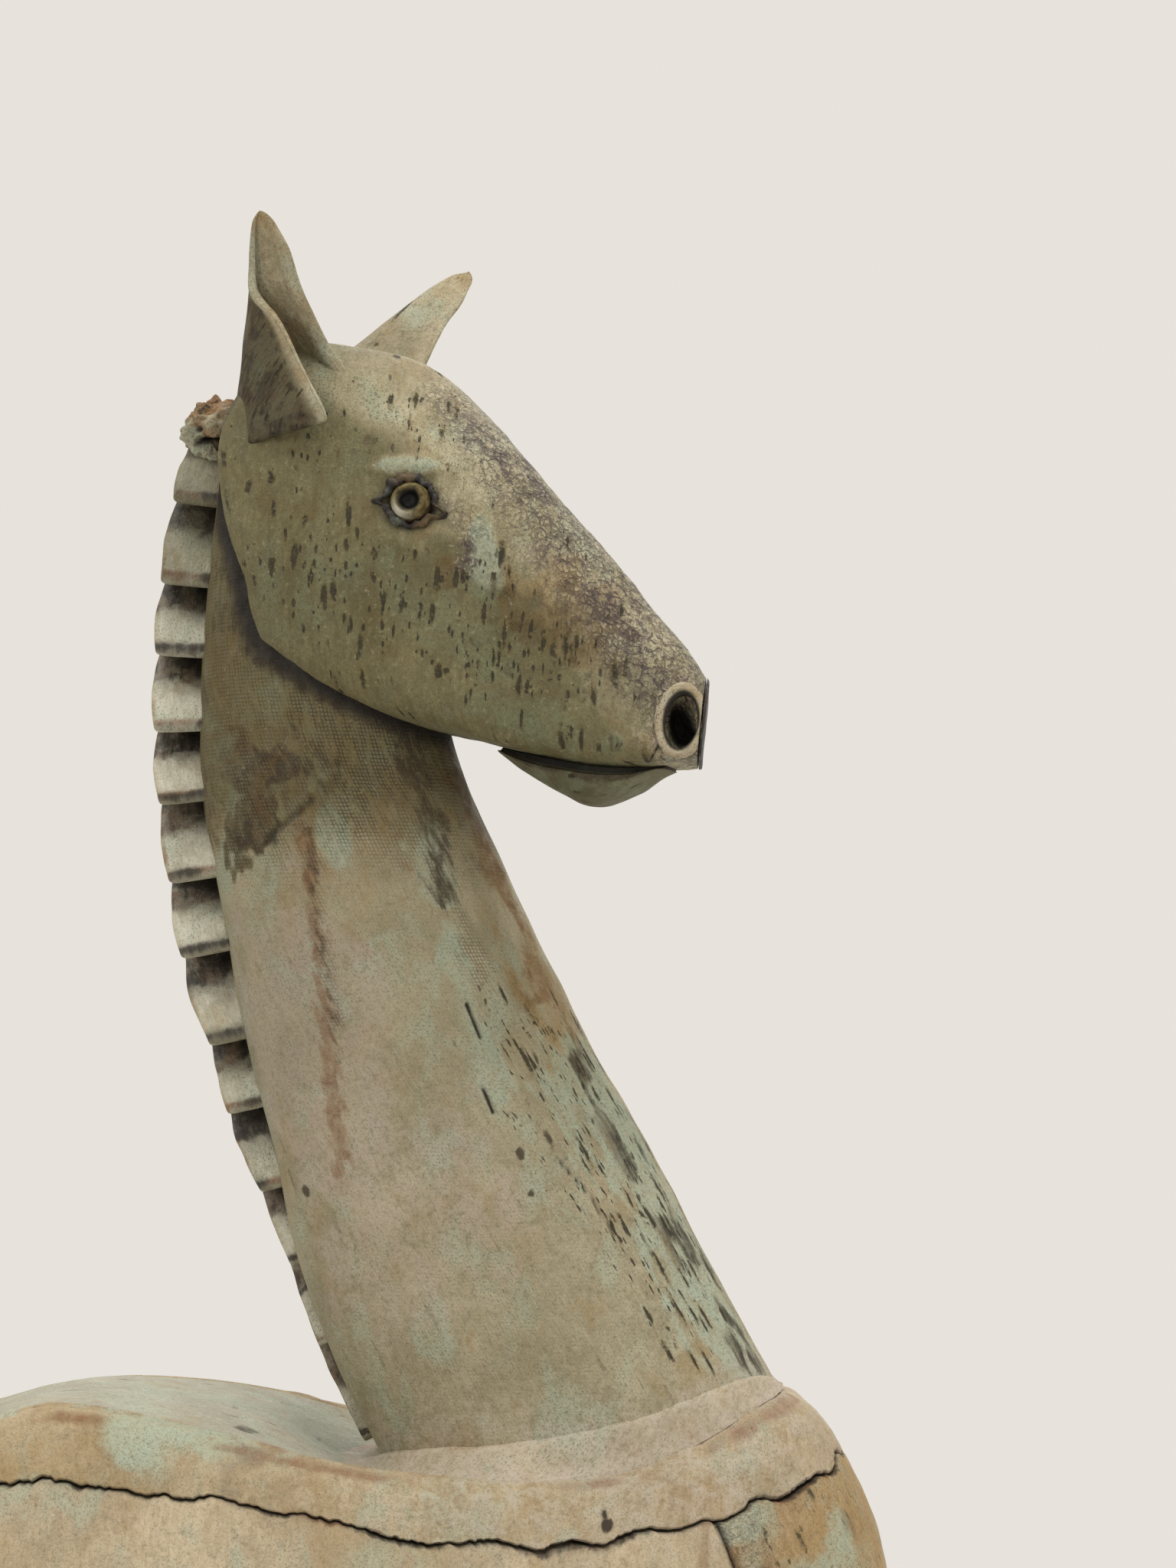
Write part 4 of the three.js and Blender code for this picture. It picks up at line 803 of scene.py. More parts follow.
def neck():
    angles = even_angles(301, lambda angle: neck_point(angle, 0.5, 0)[..., :2], math.pi)[:-1]
    shares = np.linspace(-0.03, 1, 300)
    points = neck_point(angles[None, :], shares[:, None], 0.0)
    out = grid_normals(points, True)
    x, y, z = points[..., 0], points[..., 1], points[..., 2]
    near = step_up(-y, 2, 10)
    rough = lumps(points, 8.0, 71)
    fine = lumps(points, 2.5, 72)
    wart = near * blot(x, z, (-15, 424), (3.2, 5.6), -15, 0.25, fine)
    crease = near * streak(x, z, (-31, 405), (-19, 416), 1.2)
    slits = near * most(streak(x, z, (21, 364), (24, 356), 0.6), streak(x, z, (24.5, 343), (27.5, 337), 0.5),
                        0.7 * streak(x, z, (43, 326), (51, 317), 0.35), 0.7 * streak(x, z, (51, 317), (58, 306), 0.4))
    sink = (0.9 * lumps(points, 30.0, 73) + 0.3 * lumps(points, 9.0, 74) - 0.6
            + 1.3 * wart - 0.5 * crease - 1.0 * slits)
    points = points + out * sink[..., None]
    # Painted shadow that the head casts on the neck, darkest where they touch
    head_shadow = near_head(points, 11.0)
    # Place across and along a line that follows the front edge, which the dark streaks there keep to
    lean = math.atan2(98 - 44, 356 - 264)
    across = (x - 44) * math.cos(lean) + (z - 356) * math.sin(lean)
    along = (z - 356) * math.cos(lean) - (x - 44) * math.sin(lean)
    streaky = lumps(np.stack([across / 1.1, along / 9, 0 * x], axis=-1), 1.0, 79)
    wisps = lumps(np.stack([across / 2.6, along / 16, 0 * x], axis=-1), 1.0, 80)
    front_line = np.exp(-((across - 0.5) / 5.5) ** 2) * step_up(-along, -14, 4) * (1 - step_up(-along, 96, 110))
    front_line = front_line * (0.4 + 0.6 * near)
    dark_runs = near * most(blot(x, z, (60, 327), (5, 17), 28, 0.5, wisps), blot(x, z, (76, 304), (5, 14), 30, 0.5, wisps),
                            0.8 * blot(x, z, (88, 281), (3, 13), 28, 0.5, wisps))
    upper = step_up(z + 4 * rough, 388, 408)
    foot = 1 - step_up(z - back_height(x, y) + 3 * rough, 9, 30)
    torn = rough + 0.9 * fine
    patch = near * most(blot(x, z, (-30, 424), (12, 9), 0, 0.6, torn), blot(x, z, (-34, 409), (8, 10), -20, 0.6, torn))
    pale_zone = near * blot(x, z, (-18, 350), (26, 62), 12, 0.35, rough)
    mottle = near * blot(x, z, (-14, 425), (22, 14), 0, 0.7, torn) * step_up(rough + fine, -0.3, 0.6)
    green_zone = near * streak(x, z, (42, 350), (98, 264), 20, rough)
    masks = {
        "weave": most(1.0 * patch, near * 0.95 * blot(x, z, (-5, 428), (36, 20), 0, 0.5, rough), 0.6 * upper,
                      near * 0.6 * streak(x, z, (2, 432), (24, 372), 5, rough),
                      near * 0.5 * streak(x, z, (-22, 415), (-13, 360), 3, rough), 0.12 * (1 - pale_zone)),
        "rust": most(0.7 * patch, near * 0.7 * streak(x, z, (17, 430), (40, 366), 5, rough + wisps),
                     near * 0.75 * streak(x, z, (-22, 414), (-11, 322), 2.8, rough + streaky),
                     near * 0.4 * blot(x, z, (1, 398), (6, 14), 0, 0.9, rough),
                     0.35 * step_up(lumps(points, 14.0, 75), 0.5, 0.9)),
        "ochre": most(near * 0.75 * streak(x, z, (-20, 418), (-11, 318), 4.5, rough + streaky),
                      near * 0.95 * streak(x, z, (17, 434), (46, 352), 9, rough + wisps),
                      near * 0.45 * blot(x, z, (-2, 400), (12, 34), 10, 0.4, rough),
                      0.6 * upper, (0.15 + 0.35 * step_up(lumps(points, 30.0, 76), 0.15, 0.7)) * (1 - 0.8 * green_zone)),
        "mint_and_highlight": most(near * 0.75 * blot(x, z, (-40, 408), (5, 26), -14, 0.3, rough),
                     near * 0.85 * blot(x, z, (-14, 408), (4.5, 11), 12, 0.4, rough),
                     near * 0.7 * blot(x, z, (13, 400), (6, 16), 15, 0.5, rough),
                     near * 0.75 * streak(x, z, (16, 384), (30, 340), 4, rough + wisps),
                     near * 0.85 * streak(x, z, (50, 346), (102, 262), 16, rough + streaky),
                     0.4 * step_up(lumps(points, 26.0, 77), 0.2, 0.7)),
        "pink": most(near * 0.7 * pale_zone, near * 0.6 * blot(x, z, (8, 310), (34, 40), -20, 0.3, rough),
                     0.6 * foot),
        "stain_and_shade": most(0.85 * patch * step_up(rough + fine, -1.0, 0.3), 0.62 * mottle,
                      near * 0.75 * streak(x, z, (5, 432), (16, 392), 5, rough + streaky),
                      0.45 * upper * step_up(rough, -0.2, 0.6),
                      0.5 * near * streak(x, z, (-21, 414), (-12, 350), 2.0, rough + streaky),
                      0.8 * front_line * step_up(streaky + 0.6 * wisps + 0.9 * dark_runs, 0.3, 0.9),
                      0.95 * slits, 0.3 * crease,
                      near * 0.95 * most(blot(x, z, (34.3, 326.8), (1.4, 2.0), 0, 0.4, fine),
                                         blot(x, z, (37.0, 316.8), (1.3, 1.2), 0, 0.4, fine),
                                         blot(x, z, (70.6, 278.7), (0.9, 1.3), 20, 0.4, fine),
                                         blot(x, z, (-20.6, 317), (1.7, 1.7), 0, 0.4, fine)),
                      # painted shadow of the head
                      0.8 * step_up(head_shadow, 0.3, 0.8)),
        "deep": (1 - foot) * most(0.9 * upper * step_up(z, 385, 425), 1.3 * patch, 0.9 * mottle, near * 0.5 * streak(x, z, (8, 430), (36, 366), 8, wisps),
                     0.5 * (1 - step_up(x + 0.36 * (z - 250), -30, 14)), 0.35 * near * step_up(z, 290, 360),
                     0.14 * (1 - step_up(x + 0.58 * (z - 250), 70, 95))),
        "shade": most(0.4 * near * crease, 0.6 * slits, 0.3 * front_line * dark_runs * step_up(streaky + 0.5 * fine, 0.1, 0.6),
                      # painted shadow of the head
                      0.92 * step_up(head_shadow, 0.45, 0.95)),
        "marks": 0.05 + 0.45 * step_up(x + 0.58 * (z - 250), 72, 98) * step_up(z, 262, 290) * (1 - step_up(z, 345, 385)),
    }
    return grid_piece("neck_clay", points, wrap=True, masks=masks)


def cove():
    """Pinkish clay smoothed round the foot of the neck, as far as the rim lets it spread."""
    angles = np.linspace(0, TURN, 361)[:-1]
    foot = np.zeros_like(angles)
    for _ in range(8):
        place = neck_point(angles, foot, 0.0)
        foot = (back_height(place[:, 0], place[:, 1]) - NECK_FOOT_Z) / NECK_RISE
    reach = np.full_like(angles, 9.0)
    middle = (RIM_FRONT + RIM_REAR) / 2
    for _ in range(34):
        place = neck_point(angles, foot, -reach)
        along = np.abs(place[:, 0] - middle) / ((RIM_FRONT - RIM_REAR) / 2 - 0.8)
        across = np.abs(place[:, 1]) / (RIM_HALF_WIDTH - 0.8)
        outside = along ** PLAN_SHARPNESS + across ** PLAN_SHARPNESS > 1
        reach = np.where(outside & (reach > 1), reach - 0.25, reach)
    rise_line = curve([[0, 1], [0.12, 0.86], [0.28, 0.58], [0.5, 0.27], [0.72, 0.08], [0.86, 0.01], [1, -0.12]])
    shares = np.linspace(0, 1, 34)
    out = reach[None, :] * shares[:, None]
    ground = neck_point(angles[None, :], foot[None, :], -out)
    lift = 11 * rise_line(shares)[:, None] * blend(0.15, 1, np.abs(np.sin(angles)))[None, :]
    z = back_height(ground[..., 0], ground[..., 1]) + lift
    tuck = 1.3 * (1 - step_up(shares, 0.0, 0.16))[:, None]
    points = neck_point(angles[None, :], (z - NECK_FOOT_Z) / NECK_RISE, tuck - out)
    points[..., 2] += 0.25 * lumps(points, 6.0, 81) + 0.12 * lumps(points, 2.0, 82)
    x, y = points[..., 0], points[..., 1]
    near = step_up(-y, 2, 8)
    rough = lumps(points, 4.0, 83)
    low = shares[:, None] + 0 * x
    masks = {
        "pink": 0.6 + 0.1 * rough + 0.15 * step_up(low, 0.3, 0.7),
        "mint_and_highlight": 0.5 * (1 - step_up(low, 0.0, 0.5)) * step_up(x, 20, 60),
        "ochre": 0.6 * step_up(low, 0.8, 0.95) * step_up(rough, -0.2, 0.5) * (1 - step_up(x, 40, 80)),
        "stain_and_shade": most(near * 0.95 * blot(x, z, (-8.5, 250.5), (3.2, 1.3), 10, 0.5, rough),
                      near * 0.9 * blot(x, z, (-14.5, 250.0), (1.6, 1.8), 0, 0.5, rough)),
        "shade": 0.3 * near * blot(x, z, (-8.5, 250.5), (2.4, 0.9), 10, 0.5, rough),
        "deep": 0.3 * (1 - step_up(x, -20, 10)),
        "marks": 0.0,
    }
    return grid_piece("cove_clay", points, wrap=True, masks=masks)


stand_in(cove(), "neck_base_coil", glaze["cove"])

# Head, in its own frame: +x to the muzzle, +z over the brow

HEAD_LENGTH = 124.0
HEAD_YAW = math.radians(18)
HEAD_PITCH = math.radians(34)
head_place = np.array(
    Matrix.Translation((NECK_FOOT_X - 72 * 0.965 - 3, 0, NECK_FOOT_Z + NECK_RISE - 12))
    @ Matrix.Rotation(-HEAD_YAW, 4, "Z") @ Matrix.Rotation(HEAD_PITCH, 4, "Y")
)
head_top = curve([
    [-31, 24], [-28, 32], [-22, 38], [-10, 43.3], [0, 46.2], [8, 47], [20, 45.4], [40, 40.6], [60, 35.2],
    [80, 29.6], [100, 23.4], [115, 17.4], [130, 11],
])
head_under = curve([
    [-31, 17], [-29, 6], [-24, -4.5], [-14, -15.5], [-4, -23.5], [4, -30.4], [11, -37.6], [16, -41], [28, -39.6],
    [44, -36.2], [60, -31.8], [76, -26.4], [90, -21.2], [106, -14.2], [116, -8], [123, -2.4], [130, 4],
])
head_breadth = curve([
    [-31, 0.1], [-28, 0.5], [-22, 0.78], [-10, 0.95], [0, 1], [18, 1.02], [34, 0.97], [60, 0.72],
    [85, 0.4], [105, 0.12], [118, 0], [130, -0.1],
])
MID_SHARE = 0.42
CHEEK_TUCK = 0.12


def head_point(angle, along, grow=0.0):
    top = head_top(along) + grow
    under = head_under(along) - grow
    middle = blend(under, top, MID_SHARE)
    half = 15 + 14 * head_breadth(along) + grow
    up = np.sin(angle)
    above = up >= 0
    sharpness = np.where(above, 2.3, 6.0)
    reach = np.where(above, top - middle, middle - under)
    tuck = np.where(above, 1.0, 1 - CHEEK_TUCK * up * up)
    y = half * tuck * power(np.cos(angle), sharpness)
    z = middle + reach * power(up, sharpness)
    return np.stack(np.broadcast_arrays(along, y, z), axis=-1)


def head_side(along, height):
    """Half width of the head at a place on its side."""
    top = head_top(along)
    under = head_under(along)
    middle = blend(under, top, MID_SHARE)
    half = 15 + 14 * head_breadth(along)
    above = height >= middle
    sharpness = 2.3 if above else 6.0
    reach = top - middle if above else middle - under
    rise = min(abs(height - middle) / reach, 1)
    tuck = 1 if above else 1 - CHEEK_TUCK * rise ** sharpness
    return half * tuck * (1 - rise ** sharpness) ** (1 / sharpness)


def side_frame(along, height, side, tilt=0.0):
    """Frame on the head's surface: first axis forward, third axis outwards."""
    def at(a, h):
        return Vector((a, side * head_side(a, h), h))
    forward = (at(along + 0.5, height) - at(along - 0.5, height)).normalized()
    upward = (at(along, height + 0.5) - at(along, height - 0.5)).normalized()
    out = upward.cross(forward) if side > 0 else forward.cross(upward)
    out.normalize()
    across = out.cross(forward).normalized()
    turned = Matrix((forward, across, out)).transposed().to_4x4()
    turned.translation = at(along, height)
    return np.array(turned @ Matrix.Rotation(side * tilt, 4, "Z"))


def in_frame(points, place):
    """Points given in a frame's own axes."""
    return (points - place[:3, 3]) @ place[:3, :3]


def on_frame(points, place):
    return points @ place[:3, :3].T + place[:3, 3]


muzzle_middle = np.array([HEAD_LENGTH - 3.5, 0, (head_top(HEAD_LENGTH) + head_under(HEAD_LENGTH)) / 2])
muzzle_turn = np.array(Matrix.Rotation(math.radians(17.5), 3, "Z") @ Matrix.Rotation(math.radians(-27), 3, "Y"))
muzzle_normal = muzzle_turn[:, 0]


def muzzle_along(angle, grow, ahead):
    """Where each line along the head meets the muzzle's oblique plane."""
    low = np.full_like(angle, 60.0)
    high = np.full_like(angle, 160.0)
    for _ in range(40):
        middle = (low + high) / 2
        past = (head_point(angle, middle, grow) - muzzle_middle) @ muzzle_normal > ahead
        high = np.where(past, middle, high)
        low = np.where(past, low, middle)
    return (low + high) / 2


EYE = (31.0, 16.0)
EYE_RADIUS = 5.8
EYE_SINK = 0.42 * EYE_RADIUS
PALE_SIDE = 1.7
NOSTRIL = (119.0, 6.8)
NOSTRIL_HALF = (4.4, 7.4)
NOSTRIL_TILT = -0.49
eye_frames = {side: side_frame(*EYE, side) for side in SIDES.values()}
nostril_frames = {side: side_frame(*NOSTRIL, side, NOSTRIL_TILT) for side in SIDES.values()}


def head():
    def line(angle):
        return head_point(angle, np.full_like(angle, 45.0))[..., 1:]
    angles = even_angles(301, line, -math.pi / 2)[:-1]
    end = muzzle_along(angles, 0.0, 0.0)
    shares = np.concatenate([np.linspace(0, 0.08, 24)[:-1], np.linspace(0.08, 0.86, 200)[:-1],
                             np.linspace(0.86, 1, 84)])
    points = head_point(angles[None, :], blend(-31.0, end[None, :], shares[:, None]))
    out = grid_normals(points, True)
    a, y, h = points[..., 0], points[..., 1], points[..., 2]
    hold = 1 - step_up(shares, 0.97, 1.0)[:, None]
    sink = (0.6 * lumps(points, 18.0, 91) + 0.25 * lumps(points, 6.0, 92) + 0.1 * lumps(points, 2.2, 97) - 0.35) * hold
    rough = lumps(points, 6.0, 93)
    fine = lumps(points, 2.2, 94)
    pit = np.zeros_like(a)
    flare = np.zeros_like(a)
    lid = np.zeros_like(a)
    for side in SIDES.values():
        facing = y * side > 0
        eye = in_frame(points, eye_frames[side])
        far = np.hypot(eye[..., 0], eye[..., 1])
        brow = np.exp(-(((a - 24.5) / 9) ** 2 + ((h - 23.4 - 0.65 * (a - 24.5)) / 3.6) ** 2))
        under = np.exp(-(((a - 31) / 9) ** 2 + ((h - 6.5) / 2.6) ** 2))
        bag = np.exp(-(((a - 44) / 4) ** 2 + ((h - 13) / 5) ** 2))
        sink = sink + np.where(facing, 1.2 * brow + 0.5 * under + 0.4 * bag - 1.6 * np.exp(-(far / 7.0) ** 4), 0)
        lid = np.maximum(lid, np.where(facing, np.exp(-((far + 1.3 * fine) / 7.2) ** 6), 0))
        nostril = in_frame(points, nostril_frames[side])
        oval = np.hypot(nostril[..., 0] / NOSTRIL_HALF[0], nostril[..., 1] / NOSTRIL_HALF[1])
        close = facing & (np.abs(nostril[..., 2]) < 6)
        pit = np.maximum(pit, np.where(close, 1 - step_up(oval, 0.66, 1.04), 0))
        flare = np.maximum(flare, np.where(close, np.exp(-((oval - 1.5) / 0.45) ** 2), 0))
    hollow = np.exp(-(((a - 84) / 22) ** 2 + ((h - 8) / 8) ** 2))
    jowl = np.exp(-(((a - 16) / 26) ** 2 + ((h + 16) / 14) ** 2))
    sink = sink - 8.5 * pit + 0.5 * flare * hold - 1.0 * hollow * step_up(np.abs(y), 6, 14) + 0.7 * jowl
    points = points + out * sink[..., None]
    near = step_up(-y, -2, 6)
    ridge = head_top(a) - h
    low_edge = step_up(head_under(a) + 6 - h, 0, 6)
    crackle_line = 47 - 0.42 * a
    crackle = step_up(h - crackle_line + 4 * rough, -6, 9) * step_up(a + 3 * rough, 8, 26)
    below = step_up(crackle_line - h + 4 * rough, -4, 12)
    eye_zone = blot(a, h, (38, 17), (17, 11), 20, 0.3, rough)
    # Places painted lit, where the darker wash is held back: the brow and the pale strip before the eye
    lit = near * most(blot(a, h, (24.5, 23.4), (11, 3.4), 33, 0.3, fine), blot(a, h, (54, 17), (5, 11), 34, 0.4, rough))
    down = np.cumsum(np.linalg.norm(np.diff(points, axis=1, prepend=points[:, :1]), axis=-1), axis=1)
    fall = np.abs(down - np.take_along_axis(down, np.full((len(points), 1), 150), axis=1))
    masks = {
        "round": a * math.cos(HEAD_PITCH) - fall * math.sin(HEAD_PITCH),
        "rise": a * math.sin(HEAD_PITCH) + fall * math.cos(HEAD_PITCH),
        "crackle": most(crackle, 0.8 * step_up(13 - ridge + 2 * rough, 0, 8) * step_up(a, 6, 20),
                        near * 0.6 * blot(a, h, (45, 19), (8, 5), 0, 0.4, rough),
                        near * 0.9 * blot(a, h, (50.5, 12), (3.4, 6), 34, 0.4, rough)),
        "plum": most(0.95 * blot(a, h, (40, 36), (14, 5), -15, 0.7, rough), 0.8 * blot(a, h, (101, 13), (9, 10), 20, 0.8, rough),
                     0.75 * blot(a, h, (84, 22), (9, 7), -20, 0.8, rough), 0.7 * blot(a, h, (66, 22), (5, 5), 0, 0.8, rough),
                     near * 0.95 * blot(a, h, (50.5, 12), (2.6, 5), 34, 0.5, fine),
                     0.6 * blot(a, h, (16, 33), (9, 4), -20, 0.8, rough), 0.25 * crackle),
        "marks": most(0.2 * (1 - eye_zone), 0.75 * blot(a, h, (60, -4), (36, 17), 10, 0.5, rough) * (1 - 0.6 * crackle),
                      0.55 * blot(a, h, (24, -12), (26, 20), 0, 0.5, rough), 0.6 * blot(a, h, (20, 33), (15, 8), -20, 0.4, rough),
                      0.45 * blot(a, h, (0, 10), (12, 22), 0, 0.5, rough), 0.5 * blot(a, h, (98, -6), (18, 10), -20, 0.5, rough)),
        "ochre": most(near * 0.95 * blot(a, h, (49, 8), (3.6, 7.5), 34, 0.5, rough),
                      0.9 * blot(a, h, (79, 14), (19, 15), -15, 0.5, rough),
                      0.65 * blot(a, h, (117, -4), (7, 8), 0, 0.6, rough), 0.3 * step_up(rough, 0.2, 0.7)),
        "rust": most(near * 0.6 * blot(a, h, (48.5, 7), (2.4, 7), 34, 0.6, rough),
                     0.4 * blot(a, h, (78, 10), (15, 12), -15, 1.1, rough),
                     0.5 * step_up(-8 - a, 0, 14) * step_up(rough, -0.2, 0.5)),
        # The mint on the brow and on the strip before the eye is partly a painted highlight
        "mint_and_highlight": most(near * 0.95 * blot(a, h, (24.5, 23.4), (10, 2.6), 33, 0.3, fine),
                     near * 0.9 * blot(a, h, (55, 14), (4.6, 15), 34, 0.5, rough),
                     0.75 * blot(a, h, (90, -14), (26, 7), 15, 0.5, rough),
                     0.7 * blot(a, h, (56, -6), (22, 9), 0, 0.6, rough), 0.5 * blot(a, h, (30, -16), (22, 13), 0, 0.6, rough),
                     0.5 * low_edge * step_up(a, 40, 70), 0.35 * step_up(lumps(points, 20.0, 95), 0.1, 0.6)),
        "pink": most(0.5 * step_up(14 - ridge, 0, 10) * (1 - step_up(a, 20, 60)), 0.7 * flare),
        "stain_and_shade": most(near * 0.6 * blot(a, h, (12, 23), (2.0, 2.2), 0, 0.7, fine),
                      near * 0.4 * blot(a, h, (31, 0), (3, 4), 0, 0.9, fine),
                      0.5 * blot(a, h, (82, 8), (20, 10), -20, 1.2, rough + fine),
                      0.75 * lid, 0.35 * step_up(lumps(points, 12.0, 96), 0.5, 0.9),
                      0.7 * step_up(-24 - a, 0, 4)),
        # Darker olive wash below the crackle and at the rear, partly the glaze's own colour and partly painted shade
        # that grows towards the head's underside
        "deep": most(1.05 * below * (1 - 0.6 * eye_zone) * (1 - 0.6 * lit) * step_up(30 - h, -8, 12),
                     0.6 * blot(a, h, (94, 6), (24, 12), -18, 0.6, rough),
                     0.5 * step_up(26 - a, 0, 24) * (1 - 0.6 * lit), 0.8 * (1 - step_up(a, -20, 2)) * step_up(30 - h, 0, 10), 0.16),
        # Painted shade in the nostril pit, round the lid and at the head's rear end against the neck
        "shade": most(0.98 * step_up(pit, 0.08, 0.7), 0.8 * step_up(lid, 0.35, 0.8),
                      0.7 * step_up(-27.5 - a, 0, 2)),
    }
    masks = {key: np.broadcast_to(value, a.shape) for key, value in masks.items()}
    rear = points[:1].mean(axis=1, keepdims=True)
    front = points[-1:].mean(axis=1, keepdims=True)
    rear_cap = rear + (points[:1] - rear) * np.array([0.02, 0.35, 0.7])[:, None, None]
    front_cap = front + (points[-1:] - front) * np.array([0.97, 0.5, 0.02])[:, None, None]
    points = np.concatenate([rear_cap, points, front_cap])
    masks = {key: np.concatenate([value[[0, 0, 0]], value, value[[-1, -1, -1]]]) for key, value in masks.items()}
    return grid_piece("head_clay", points, wrap=True, place=head_place, masks=masks)


head_piece = head()
stand_in(head_piece, "head_shell", glaze["head"])
stand_in(neck(), "neck_tube", glaze["neck"])


def nose_plate():
    """Thin plate with a rounded rim that closes the muzzle."""
    angles = even_angles(241, lambda angle: head_point(angle, np.full_like(angle, 118.0))[..., 1:])[:-1]
    rings = []
    thickness = 0.8
    lip = 0.35
    profile = [(0.02, 0.0), (0.5, 0.0), (0.93, 0.0), (0.99, 0.1), (1.0, 0.3), (1.0, 0.7), (0.99, 0.9), (0.93, 1.0),
               (0.5, 1.0), (0.02, 1.0)]
    for reach, depth in profile:
        ahead = 0.2 + depth * thickness
        ring = head_point(angles, muzzle_along(angles, lip, ahead), lip)
        middle = ring.mean(0)
        rings.append(middle + (ring - middle) * reach)
    points = np.stack(rings)
    rough = lumps(points, 3.0, 101)
    points = points + muzzle_normal * (0.1 * rough)[..., None]
    masks = {"rust": 0.5 * step_up(rough, -0.2, 0.5), "shade": 0.5}
    return grid_piece("nose_plate_clay", points, wrap=True, place=head_place, masks=masks)


stand_in(nose_plate(), "nose_plate", glaze["lid"])


def spun(profile, steps, frame_place, ragged=0.0, seed=0):
    """Rings of a turned form: pairs of radius and height in a frame's own axes."""
    turn = np.linspace(0, TURN, steps + 1)[:-1]
    profile = np.array(profile, float)
    points = np.stack([profile[:, :1] * np.cos(turn), profile[:, :1] * np.sin(turn),
                       np.repeat(profile[:, 1:], steps, axis=1)], axis=-1)
    if ragged:
        points = points * (1 + ragged * lumps(points, 2.0, seed))[..., None]
    return on_frame(points, frame_place)


def eyeball(side):
    """Pellet with a drilled pupil in a dished, raised ring."""
    hole = 2.3
    rise = math.sqrt(EYE_RADIUS ** 2 - hole ** 2) - EYE_SINK
    profile = [(0.05, rise - 2.3), (1.0, rise - 2.2), (1.7, rise - 1.8), (2.1, rise - 1.2), (2.5, rise - 0.7),
               (2.9, rise - 0.35), (3.3, rise - 0.2), (3.7, rise - 0.2), (4.1, rise - 0.5)]
    for turn in np.linspace(math.asin(4.5 / EYE_RADIUS), math.radians(112), 22):
        profile.append((EYE_RADIUS * math.sin(turn), EYE_RADIUS * math.cos(turn) - EYE_SINK))
    fine = np.linspace(0, len(profile) - 1, 90)
    profile = np.array([np.interp(fine, np.arange(len(profile)), column) for column in zip(*profile)]).T
    points = spun(profile, 96, np.eye(4))
    points = points * (1 + 0.025 * lumps(points, 2.2, 105) + 0.012 * lumps(points, 0.8, 106))[..., None]
    radius = profile[:, :1] + 0 * points[..., 0]
    direction = np.arctan2(points[..., 1], points[..., 0])
    # Painted highlight as a pale crescent on one side of the ring, and painted shade down into the drilled pupil
    crescent = np.exp(-(np.angle(np.exp(1j * (direction - side * PALE_SIDE))) / 0.7) ** 2)
    masks = {
        "shade": 1 - step_up(radius + 0.3 * lumps(points, 1.6, 108), 2.1, 3.9),
        "mint_and_highlight": crescent * step_up(radius, 2.9, 3.8) * (1 - step_up(radius, 4.4, 5.1)),
        "stain_and_shade": step_up(radius + 0.4 * lumps(points, 1.2, 107), 4.6, 5.4),
    }
    return grid_piece(f"{name_of(side)}_eyeball_clay", on_frame(points, eye_frames[side]), wrap=True,
                      place=head_place, masks=masks)


def ring_piece(name, half, radius_at, reach_at, ragged, frame_place, masks_at, seed):
    """Coil of clay round an oval, trimmed where it would pass the muzzle's end."""
    turn = np.linspace(0, TURN, 241)[:-1]
    section = np.linspace(0, TURN, 29)[:-1]
    thick = radius_at(turn)
    reach = thick[:, None] * np.cos(section)[None, :] + reach_at(turn)[:, None]
    points = np.stack([
        (half[0] + reach) * np.cos(turn)[:, None],
        (half[1] + reach) * np.sin(turn)[:, None],
        0.92 * thick[:, None] * np.sin(section)[None, :],
    ], axis=-1)
    points = points * (1 + ragged * lumps(points, 1.5, seed) + ragged * lumps(points, 0.6, seed + 1))[..., None]
    points = np.concatenate([points, points[:1]])
    masks = masks_at(points)
    points = on_frame(points, frame_place)
    past = (points - muzzle_middle) @ muzzle_normal + 0.1
    points = points - muzzle_normal * np.maximum(past, 0)[..., None]
    return grid_piece(name, points, wrap=True, place=head_place, masks=masks)


def bump_at(turn, centre, width):
    """1 at one direction round a ring, falling off on both sides."""
    return np.exp(-(np.angle(np.exp(1j * (turn - centre))) / width) ** 2)


def eyelid(side):
    """Ragged dark ring round the pellet, drawn out to a tear at both corners."""
    rear, front, thick_side = -2.55 * -side, 0.21 * -side, 2.95 * -side

    def radius_at(turn):
        wobble = 0.16 * np.sin(3 * turn + 0.7) + 0.14 * np.sin(7 * turn) + 0.12 * np.sin(17 * turn + 2)
        thick = 1.0 + 0.5 * bump_at(turn, thick_side, 0.9) - 0.3 * bump_at(turn, rear, 0.3) - 0.3 * bump_at(turn, front, 0.3)
        return 0.95 * (thick + wobble)

    def reach_at(turn):
        return 2.8 * bump_at(turn, rear, 0.13) + 3.2 * bump_at(turn, front, 0.17) + 0.25 * np.sin(11 * turn)

    def masks_at(points):
        return {"rust": 0.3 * step_up(lumps(points, 1.4, 112), 0.5, 0.9), "shade": 0.35}

    return ring_piece(f"{name_of(side)}_eyelid_clay", (EYE_RADIUS + 0.6, EYE_RADIUS + 0.2), radius_at, reach_at, 0.05,
                      eye_frames[side], masks_at, 111)


